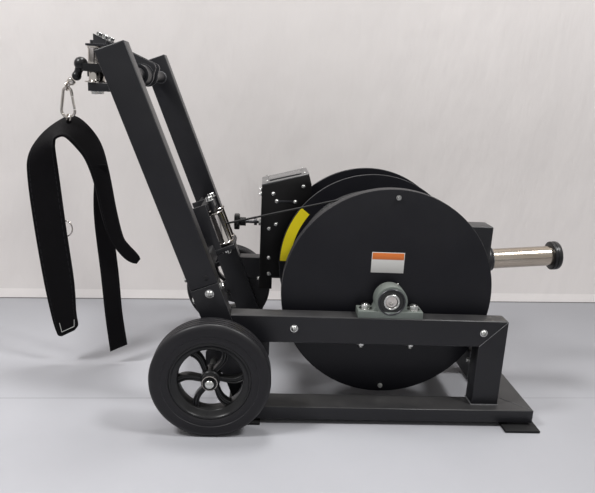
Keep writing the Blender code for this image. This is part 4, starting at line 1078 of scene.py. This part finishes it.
class TRAINER_OT_rope_end(bpy.types.Operator):
    """Make the stop ball, swivel, snap hook and the belt's ring"""

    bl_idname = "trainer.rope_end"
    bl_label = "Ball, swivel and hook"

    def execute(self, context):
        ball_low, ball_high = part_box("stopper_ball")
        radius = (ball_high.y - ball_low.y) / 2 / MM
        drop = Vector(BALL_END) - Vector(BALL)
        length = drop.length
        profile = [(radius * math.sin(math.radians(a)), -radius * math.cos(math.radians(a)))
                   for a in range(6, 150, 8)]
        neck = profile[-1][0]
        profile += [(neck - 0.5, length * 0.52), (8.6, length * 0.60), (8.6, length * 0.68)]
        small = 10.5
        profile += [(small * math.sin(math.radians(a)), length - small * math.cos(math.radians(a)))
                    for a in range(60, 176, 8)]
        ball = lathe("stopper_skin", profile, BALL, drop, "black_plastic", "rope_end", 64, ring=False)
        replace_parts(ball, "stopper_ball")
        lean = Vector((-1, 0, -1)).normalized()
        root = Vector(BALL_END) + lean * 11.4
        profile = [(4, 0), (7.4, 0), (8.8, 0.8), (9.2, 1.8), (9.2, 9.4), (8.6, 10.6), (6.6, 12.6),
                   (5.2, 13.4), (5.2, 21.4), (4.2, 23)]
        barrel = lathe("swivel_skin", profile, root, lean, "chrome", "swivel", 56, ring=False)
        eye = [(HOOK_X, y, SWIVEL_EYE_Z + z) for y, z in round_ring(9, 40)]
        loop = bar_along("swivel_eye", eye, 0.0022, "chrome", "swivel", 5, closed=True)
        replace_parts(join([barrel, loop], "swivel_skin"), "rope_swivel")
        upper = (HOOK_X, 0, HOOK_TOP - HOOK_SMALL)
        lower = (HOOK_X, 0, HOOK_LOW + HOOK_LARGE)
        flare = math.asin((HOOK_LARGE - HOOK_SMALL) / (upper[2] - lower[2]))
        wide = Vector((math.cos(flare), 0, math.sin(flare)))
        nose = (Vector(lower) + wide * HOOK_LARGE).lerp(Vector(upper) + wide * HOOK_SMALL, NOSE_LOW)
        path = [tuple(nose)] + arc(upper, HOOK_SMALL, flare, math.pi - flare, 20)
        path += arc(lower, HOOK_LARGE, math.pi - flare, 2 * math.pi + flare, 30)
        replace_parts(bar_along("carabiner_skin", path, 0.0033, "chrome", "hook", 6), "carabiner")
        heel = Vector(path[-1])
        up = (nose - heel).normalized()
        path = [heel + up * 1.3, nose - up * 0.9]
        gate = bar_along("gate_skin", path, 0.0028, "chrome", "gate", 6)
        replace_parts(gate, "carabiner_gate")
        rivet = [(1.4, -3.6), (1.8, -3.1), (1.8, 3.1), (1.4, 3.6)]
        lathe("gate_rivet", rivet, heel + up * 4.6, FAR, "zinc", "gate", 24, ring=False)
        low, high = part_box("belt_ring")
        middle = (low + high) / 2
        ring = []
        for across, z in round_ring((high.z - low.z) / 2 / MM - RING_BAR, 48):
            side = across / math.sqrt(2)
            ring.append((middle.x / MM - SHIFT_X - side, side, middle.z / MM + z))
        loop = bar_along("belt_ring_skin", ring, RING_BAR * MM, "chrome", "belt", 5, closed=True)
        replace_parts(loop, "belt_ring")
        return {"FINISHED"}


def webbing(name, stations, thickness, material, count, across):
    """A band whose two edges follow the stations, given a thickness and soft edges."""
    rows = smooth_line(stations, count)
    last = len(rows) - 1
    obj = start(bpy.ops.mesh.primitive_grid_add, x_subdivisions=last, y_subdivisions=across, size=2)
    for vertex in obj.data.vertices:
        row = rows[round((vertex.co.x + 1) / 2 * last)]
        vertex.co = at(*Vector(row[:3]).lerp(Vector(row[3:]), (vertex.co.y + 1) / 2))
    apply_modifier(obj, "SOLIDIFY", thickness=thickness, offset=0, use_even_offset=True)
    apply_modifier(obj, "BEVEL", width=thickness * 0.33, segments=3, limit_method="ANGLE",
                   angle_limit=math.radians(50))
    return done(obj, name, material, "belt", 60)


class TRAINER_OT_belt(bpy.types.Operator):
    """Hang the padded waist belt, its strap, rings and stitching"""

    bl_idname = "trainer.belt"
    bl_label = "Waist belt"

    def execute(self, context):
        sizes = context.scene.trainer_sizes
        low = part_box("belt_ring")[0].z / MM + RING_BAR
        crown = low - 6.4
        band = [
            (-604, 0, 75.5, -571, 0, 93),
            (-612, 0, 77.5, -564, 0, 103),
            (-616.5, 0, 87, -563, 0, 112),
            (-625, 0, 122, -566, 0, 142),
            (-640, 2, 215, -568, 0, 225),
            (-655, 3, 349, -581, 0, 362),
            (-664, 4, 470, -590, -2, 480),
            (-660, 8, 526, -592, -12, 538),
            (-634, 22, 572, -587, -30, 560),
            (HOOK_X - 32, 30, crown + 4, HOOK_X - 18, -40, crown - 29),
            (HOOK_X + 2, 30, crown + 17, HOOK_X + 2, -42, crown - 24),
            (-528, 30, crown - 3, -538, -34, 555),
            (-497, 24, 557, -520, -24, 524),
            (-478, 17, 490, -506, -13, 470),
            (-462, 10, 405, -494, -8, 398),
            (-446, 4, 341, -479, -6, 338),
            (-431, 2, 318, -461.5, -4, 308),
            (-417, 1, 303, -443, -3, 286),
            (-408, 0, 291.5, -427, -2, 275.5),
            (-405, 0, 284, -413.5, -2, 272.5),
        ]
        belt = webbing("belt_skin", band, sizes.belt_thickness, "belt_webbing", 8, 14)
        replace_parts(belt, "belt_band")
        tail = [
            (-500, -4, 512, -482, 8, 512),
            (-510, 0, 470, -478, 16, 470),
            (-516, 10, 380, -474, 14, 380),
            (-505, 10, 240, -461, 10, 246),
            (-497, 8, 130, -454, 8, 142),
            (-487, 6, 33, -443, 6, 54),
        ]
        webbing("belt_strap", tail, sizes.strap_thickness, "strap_webbing", 10, 10)
        side = Vector((-1, 1, 0)).normalized()
        root = Vector((HOOK_X, 0, low)) - side * 2.5
        collar = [(2.6, 0), (5.2, 0), (5.6, 0.5), (5.6, 4.5), (5.2, 5), (2.6, 5)]
        lathe("belt_tab", collar, root, side, "strap_webbing", "belt", 40)
        middle_x, middle_z = -583, 353
        ring = [(middle_x + x * 15, 7.4, middle_z + z * 19) for x, z in round_ring(1, 40)]
        bar_along("belt_side_ring", ring, 0.0017, "chrome", "belt", 4, closed=True)
        block("belt_side_tab", (-604, 3.2, 342), (-586, 10.2, 364), "strap_webbing", "belt", 1.2)
        line = [(-607, -4, 112), (-602.5, -4, 88), (-571.5, -4, 104), (-570.5, -4, 122)]
        for index, (a, b) in enumerate(zip(line, line[1:])):
            bar_along("belt_stitch_%d" % index, [a, b], 0.0007, "thread", "belt", 2)
        return {"FINISHED"}


class TRAINER_OT_brake(bpy.types.Operator):
    """Make the magnet brake's housing, its panel, its screws and the turning knob"""

    bl_idname = "trainer.brake"
    bl_label = "Brake box and adjuster"

    def execute(self, context):
        for name in ("brake_plate_near", "brake_plate_far", "brake_front_wall"):
            refine(name, 0.0006, 2, "box_coat")
        for name in ("monitor_panel", "magnet_carriage", "adjuster_knob"):
            refine(name, 0.0006, 2)
        screw = [(4, -168), (4, -131.5), (9, -131), (9, -123.2), (4, -123)]
        for k in range(32):
            crest = -122 + ADJUSTER_PITCH * k
            screw += [(4, crest), (3.4, crest + 0.7)]
        rod = lathe("adjuster_screw_skin", screw, (0, ADJUSTER_Y, ADJUSTER_Z), REAR, "dark_steel",
                    "adjuster", 28, ring=False)
        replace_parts(rod, "adjuster_screw")
        places = ((-83.6, 449), (-8.3, 470), (-91, 358), (-74, 370), (-90, 281), (-74, 430),
                  (-27, 430), (-88, 238))
        for index, (x, z) in enumerate(places):
            button_bolt("brake_bolt_%d" % index, (x, BOX_NEAR_Y, z), NEAR, "frame", 4, 2.4)
        block("brake_slot", (-72, 61.2, 427.5), (-29, 62.4, 432.5), "dark_steel", "frame", 0.4)
        for index, (y, z) in enumerate(((84, 217), (84, 443), (164, 443))):
            hex_bolt("wall_bolt_%d" % index, (BOX_FRONT_X, y, z), FRONT, "frame", 7, 3.4, 5.2)
        block("brake_window", (-96, 84, 489.6), (-12, 164, 490.8), "window", "frame", 0.4, lean=-PANEL_SLOPE)
        upright = (-math.sin(PANEL_SLOPE), 0, math.cos(PANEL_SLOPE))
        for index, x in enumerate((-100, -6)):
            z = 490.4 + (x + 54) * math.tan(PANEL_SLOPE)
            for y in (72, 176):
                button_bolt("panel_screw_%d_%d" % (index, y), (x, y, z), upright, "frame", 2.8, 1.4)
        lathe("wall_nut", [(9.5, 0), (9.5, 5), (8.5, 6)], (BOX_FRONT_X, ADJUSTER_Y, ADJUSTER_Z), FRONT,
              "zinc", "frame", 6, ring=False)
        face = [(6.5, 0), (6.5, 0.4), (6, 0.8)]
        for label, y, way in (("a", 137.8, NEAR), ("b", 166.2, FAR)):
            for index in range(4):
                lathe("magnet_%s_%d" % (label, index), face, (-86 + 16 * index, y, ADJUSTER_Z), way,
                      "chrome", "magnet", 28, ring=False)
        return {"FINISHED"}


def spoke_rib(name, points, depth, thick, body):
    """A curved rib that stands across the wheel: a path with a flat, rounded section."""
    data, line = start_line(len(points))
    for point, place in zip(line.points, points):
        point.co = ((place[0] + SHIFT_X) * MM, place[2] * MM, 0, 1)
    data.dimensions = "2D"
    data.fill_mode = "NONE"
    data.extrude = depth * MM
    data.bevel_depth = thick * MM
    data.bevel_resolution = 2
    obj = line_to_mesh()
    bpy.ops.mesh.select_all(action="DESELECT")
    bpy.ops.mesh.select_non_manifold(extend=False)
    bpy.ops.mesh.edge_face_add()
    leave()
    obj.matrix_world = Matrix.Translation((0, points[0][1] * MM, 0)) @ Matrix.Rotation(math.pi / 2, 4, "X")
    return done(obj, name, "black_plastic", body)


class TRAINER_OT_wheels(bpy.types.Operator):
    """Make both wheels with grooved tyres and curved spokes, and their axle"""

    bl_idname = "trainer.wheels"
    bl_label = "Wheels"

    def execute(self, context):
        refine("wheel_axle", 0, material="zinc")
        shoulder = [(84.3, -22), (86.5, -23.6), (94, -24.4), (99, -23.6), (100, -24.6), (112, -25),
                    (117.5, -24), (121.4, -21.6), (123.4, -19.6)]
        tread = []
        for groove in (-15, -5, 5, 15):
            tread += [(TREAD_R, groove - 1.9), (GROOVE_R, groove - 1.2), (GROOVE_R, groove + 1.2),
                      (TREAD_R, groove + 1.9)]
        tyre_profile = shoulder + tread + [(r, -h) for r, h in reversed(shoulder)]
        half = [(84, 21.6), (82.5, 22.6), (79.5, 22), (76, 17.5), (70, 15.5), (67.5, 14)]
        rim_profile = [(r, -h) for r, h in reversed(half)] + half + [(66.5, 12), (66.5, -12)]
        half = [(20, 12), (18, 14), (17.4, 25.4), (16.6, 26.6), (14.6, 26.6), (13.6, 25), (7.8, 25)]
        hub_profile = [(r, -h) for r, h in reversed(half)] + half
        for label, side in SIDES:
            body = "wheel_" + label
            centre = (WHEEL_X, side * WHEEL_Y, WHEEL_Z)
            out = (0, side, 0)
            tyre = lathe("tyre_%s_skin" % label, tyre_profile, centre, out, "tyre_rubber", body, 160)
            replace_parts(tyre, "tyre_" + label)
            parts = [lathe("rim_ring_" + label, rim_profile, centre, out, "black_plastic", body, 128),
                     lathe("rim_hub_" + label, hub_profile, centre, out, "black_plastic", body, 64)]
            for k in range(6):
                for rib, (offset, depth, thick) in enumerate(((-1, 8, 1.5), (0, 4.6, 3.6), (1, 8, 1.5))):
                    points = []
                    for i in range(11):
                        share = i / 10
                        r = SPOKE_ROOT + SPOKE_LENGTH * share
                        swing = math.radians(60 * k + 5) + side * 0.15 * math.sin(math.pi * share)
                        swing += offset * (3.4 + 2.8 * share ** 2) / r
                        points.append((WHEEL_X + r * math.cos(swing), centre[1],
                                       WHEEL_Z + r * math.sin(swing)))
                    parts.append(spoke_rib("spoke_%s_%d_%d" % (label, k, rib), points, depth, thick, body))
            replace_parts(join(parts, "rim_%s_skin" % label), "wheel_rim_" + label)
            ring = [(14.4, 24.6), (15.4, 24.6), (15.8, 25.2), (15.8, 27.6), (15.4, 28), (14.9, 28),
                    (14.4, 27.5)]
            lathe("wheel_bearing_" + label, ring, centre, out, "chrome", body, 56)
        return {"FINISHED"}


class TRAINER_OT_plates(bpy.types.Operator):
    """Fix the bare white, orange and yellow plates to the drum's discs"""

    bl_idname = "trainer.plates"
    bl_label = "Bare plates on the discs"

    def execute(self, context):
        block("plate_white", (130, -194.7, 327), (202, -194.1, 373), "plate_white", "drum", 0.2, 2)
        block("plate_orange", (131.4, -194.95, 357), (200.6, -194.3, 371.6), "plate_orange", "drum", 0.2, 2)
        middle, width, thick = 219, 26, 0.3
        obj = start(bpy.ops.mesh.primitive_plane_add, size=1)
        edit()
        bpy.ops.transform.resize(value=(width * MM, thick * MM, 1), center_override=(0, 0, 0))
        bpy.ops.transform.translate(value=(middle * MM, 0, 0))
        bpy.ops.mesh.spin(steps=30, angle=math.radians(37), center=(0, 0, 0), axis=(0, 1, 0), dupli=False)
        leave()
        turn = Matrix.Rotation(-math.radians(142), 4, "Y")
        obj.matrix_world = Matrix.Translation(at(DRUM[0], MID_FACE, DRUM[2])) @ turn
        done(obj, "plate_yellow", "plate_yellow", "drum", smooth=20)
        return {"FINISHED"}


class TRAINER_OT_stage(bpy.types.Operator):
    """Set out the floor, the backdrop, the lights and the camera of the photograph"""

    bl_idname = "trainer.stage"
    bl_label = "Floor, lights and camera"

    def execute(self, context):
        chosen = context.scene.trainer_finishes
        self.world(context)
        self.floor(chosen)
        self.wall(chosen)
        for name, place, size, power in LAMPS:
            bpy.ops.object.light_add(type="AREA", location=place)
            lamp = context.active_object
            lamp.name = name
            lamp.data.size = size
            lamp.data.energy = power
            lamp.rotation_euler = (Vector(LAMP_AIM) - Vector(place)).to_track_quat("-Z", "Y").to_euler()
        self.camera(context)
        context.scene.view_settings.view_transform = "Standard"
        return {"FINISHED"}

    def world(self, context):
        """Soft light from all round; the camera and bare metal see it paler than it shines."""
        world = bpy.data.worlds.new("Studio")
        context.scene.world = world
        world.use_nodes = True
        tree = world.node_tree
        background = tree.nodes["Background"]
        background.inputs["Color"].default_value = WORLD_GREY
        path = add_node(tree, "ShaderNodeLightPath")
        seen = maths(tree, "MAXIMUM", path.outputs["Is Camera Ray"], path.outputs["Is Glossy Ray"])
        seen = maths(tree, "MAXIMUM", seen, path.outputs["Is Transmission Ray"])
        strength = ramp(tree, seen, low=WORLD_SHINES, high=WORLD_SEEN)
        tree.links.new(strength, background.inputs["Strength"])

    def floor(self, chosen):
        """A pale, mottled floor with a seam, and painted shade that darkens it towards the sheet and the
        right.
        """
        floor = start(bpy.ops.mesh.primitive_plane_add, size=FLOOR_SIZE)
        floor.name = "floor"
        material, tree, shader = plain_surface("floor", 0.3)
        shader.inputs["Roughness"].default_value = 0.5
        base = mix(tree, noise(tree, 2.5, 9), scaled(chosen.floor, 0.90), scaled(chosen.floor, 1.08))
        place = split_up(tree, coordinates(tree))
        slant = maths(tree, "SUBTRACT", place["Y"], times(tree, place["X"], 0.036))
        seam = maths(tree, "ABSOLUTE", maths(tree, "ADD", slant, 0.1558))
        base = mix(tree, maths(tree, "LESS_THAN", seam, 0.0012), base, scaled(chosen.floor, 0.6))
        # Painted shade: darker towards the sheet behind
        back = ramp(tree, place["Y"], -0.1, 0.5)
        beyond = ramp(tree, place["Y"], 1.5, 0.52)
        base = mix(tree, times(tree, back, beyond), base, scaled(chosen.floor, 0.66))
        # Painted shade: darker towards the right
        side = times(tree, ramp(tree, place["X"], 0.2, 0.8), 0.6)
        base = mix(tree, side, base, scaled(chosen.floor, 0.60))
        tree.links.new(base, shader.inputs["Base Color"])
        floor.data.materials.append(material)
        return floor

    def wall(self, chosen):
        """A pale sheet hung behind, with soft creases, painted light that makes it lighter towards the
        bottom and a painted shade line along its foot; it can't be seen from behind.
        """
        wall = start(bpy.ops.mesh.primitive_plane_add, size=1)
        wall.name = "backdrop"
        turn = Matrix.Rotation(WALL_TURN, 4, "Z") @ Matrix.Rotation(math.radians(90), 4, "X")
        wall.matrix_world = Matrix.Translation(WALL_PLACE) @ turn @ Matrix.Diagonal(WALL_SIZE)
        bpy.ops.object.transform_apply(location=True, rotation=True, scale=True)
        material, tree, shader = plain_surface("backdrop", 0.1)
        shader.inputs["Roughness"].default_value = 0.9
        coords = coordinates(tree)
        height = split_up(tree, coords)["Z"]
        hem = maths(tree, "LESS_THAN", height, 0.034)
        # Mask of the painted shade line along the foot of the sheet
        foot = maths(tree, "LESS_THAN", height, 0.003)
        base = mix(tree, noise(tree, 1.6, 6), scaled(chosen.wall, 0.93), scaled(chosen.wall, 1.05))
        # Painted light: the sheet is lighter towards the bottom
        base = mix(tree, ramp(tree, height, 0.5, 0.05), base, scaled(chosen.wall, 1.16, 0.98))
        base = mix(tree, hem, base, scaled(chosen.wall, 1.32, 0.98))
        # Painted shade: a dark line where the sheet meets the floor
        base = mix(tree, foot, base, scaled(chosen.wall, 0.3))
        tree.links.new(base, shader.inputs["Base Color"])
        stretch = add_node(tree, "ShaderNodeMapping", {"Scale": (1, 1, 0.35)}, {"Vector": coords})
        folds = noise(tree, 3.2, 5, 0.55, stretch.outputs[0])
        tree.links.new(bump(tree, folds, 0.5, 0.035), shader.inputs["Normal"])
        clear = add_node(tree, "ShaderNodeBsdfTransparent")
        behind = add_node(tree, "ShaderNodeNewGeometry").outputs["Backfacing"]
        shown = {0: behind, 1: shader.outputs[0], 2: clear.outputs[0]}
        both = add_node(tree, "ShaderNodeMixShader", links=shown)
        tree.links.new(both.outputs[0], tree.nodes["Material Output"].inputs["Surface"])
        wall.data.materials.append(material)
        return wall

    def camera(self, context):
        """The camera that took the photograph, found from the frame's parallel edges."""
        bpy.ops.object.camera_add(location=(0, 0, 0))
        camera = context.active_object
        camera.name = "photo_camera"
        camera.data.sensor_width = CAMERA_SENSOR
        camera.data.lens = CAMERA_LENS
        yaw, pitch, roll = CAMERA_YAW, CAMERA_PITCH, CAMERA_ROLL
        ahead = Vector((math.sin(yaw) * math.cos(pitch), math.cos(yaw) * math.cos(pitch), -math.sin(pitch)))
        level = Vector((math.cos(yaw), -math.sin(yaw), 0))
        upright = level.cross(ahead)
        right = math.cos(roll) * level + math.sin(roll) * upright
        up = -math.sin(roll) * level + math.cos(roll) * upright
        turn = Matrix((right, up, -ahead)).transposed().to_4x4()
        camera.matrix_world = Matrix.Translation(at(*CAMERA)) @ turn
        context.scene.camera = camera


OPERATORS = (
    TRAINER_OT_finishes, TRAINER_OT_frame, TRAINER_OT_horn, TRAINER_OT_drum, TRAINER_OT_rope,
    TRAINER_OT_guides, TRAINER_OT_head, TRAINER_OT_rope_end, TRAINER_OT_belt, TRAINER_OT_brake,
    TRAINER_OT_wheels, TRAINER_OT_plates, TRAINER_OT_stage,
)


class TRAINER_PT_build(bpy.types.Panel):
    """The machine's sizes and finishes and the steps that build it"""

    bl_label = "Sprint trainer"
    bl_idname = "TRAINER_PT_build"
    bl_space_type = "VIEW_3D"
    bl_region_type = "UI"
    bl_category = "Trainer"

    def draw(self, context):
        for group in (context.scene.trainer_sizes, context.scene.trainer_finishes):
            for name in group.bl_rna.properties.keys():
                if name not in ("rna_type", "name"):
                    self.layout.prop(group, name)
        for operator in OPERATORS:
            self.layout.operator(operator.bl_idname)


CLASSES = (TrainerSizes, TrainerFinishes, *OPERATORS, TRAINER_PT_build)


def register():
    for cls in CLASSES:
        bpy.utils.register_class(cls)
    bpy.types.Scene.trainer_sizes = PointerProperty(type=TrainerSizes)
    bpy.types.Scene.trainer_finishes = PointerProperty(type=TrainerFinishes)


def unregister():
    del bpy.types.Scene.trainer_finishes
    del bpy.types.Scene.trainer_sizes
    for cls in reversed(CLASSES):
        bpy.utils.unregister_class(cls)


def main():
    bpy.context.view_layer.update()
    register()
    bpy.ops.trainer.finishes()
    bpy.ops.trainer.frame()
    bpy.ops.trainer.horn()
    bpy.ops.trainer.drum()
    bpy.ops.trainer.rope()
    bpy.ops.trainer.guides()
    bpy.ops.trainer.head()
    bpy.ops.trainer.rope_end()
    bpy.ops.trainer.belt()
    bpy.ops.trainer.brake()
    bpy.ops.trainer.wheels()
    bpy.ops.trainer.plates()
    bpy.ops.trainer.stage()


if __name__ == "__main__":
    main()
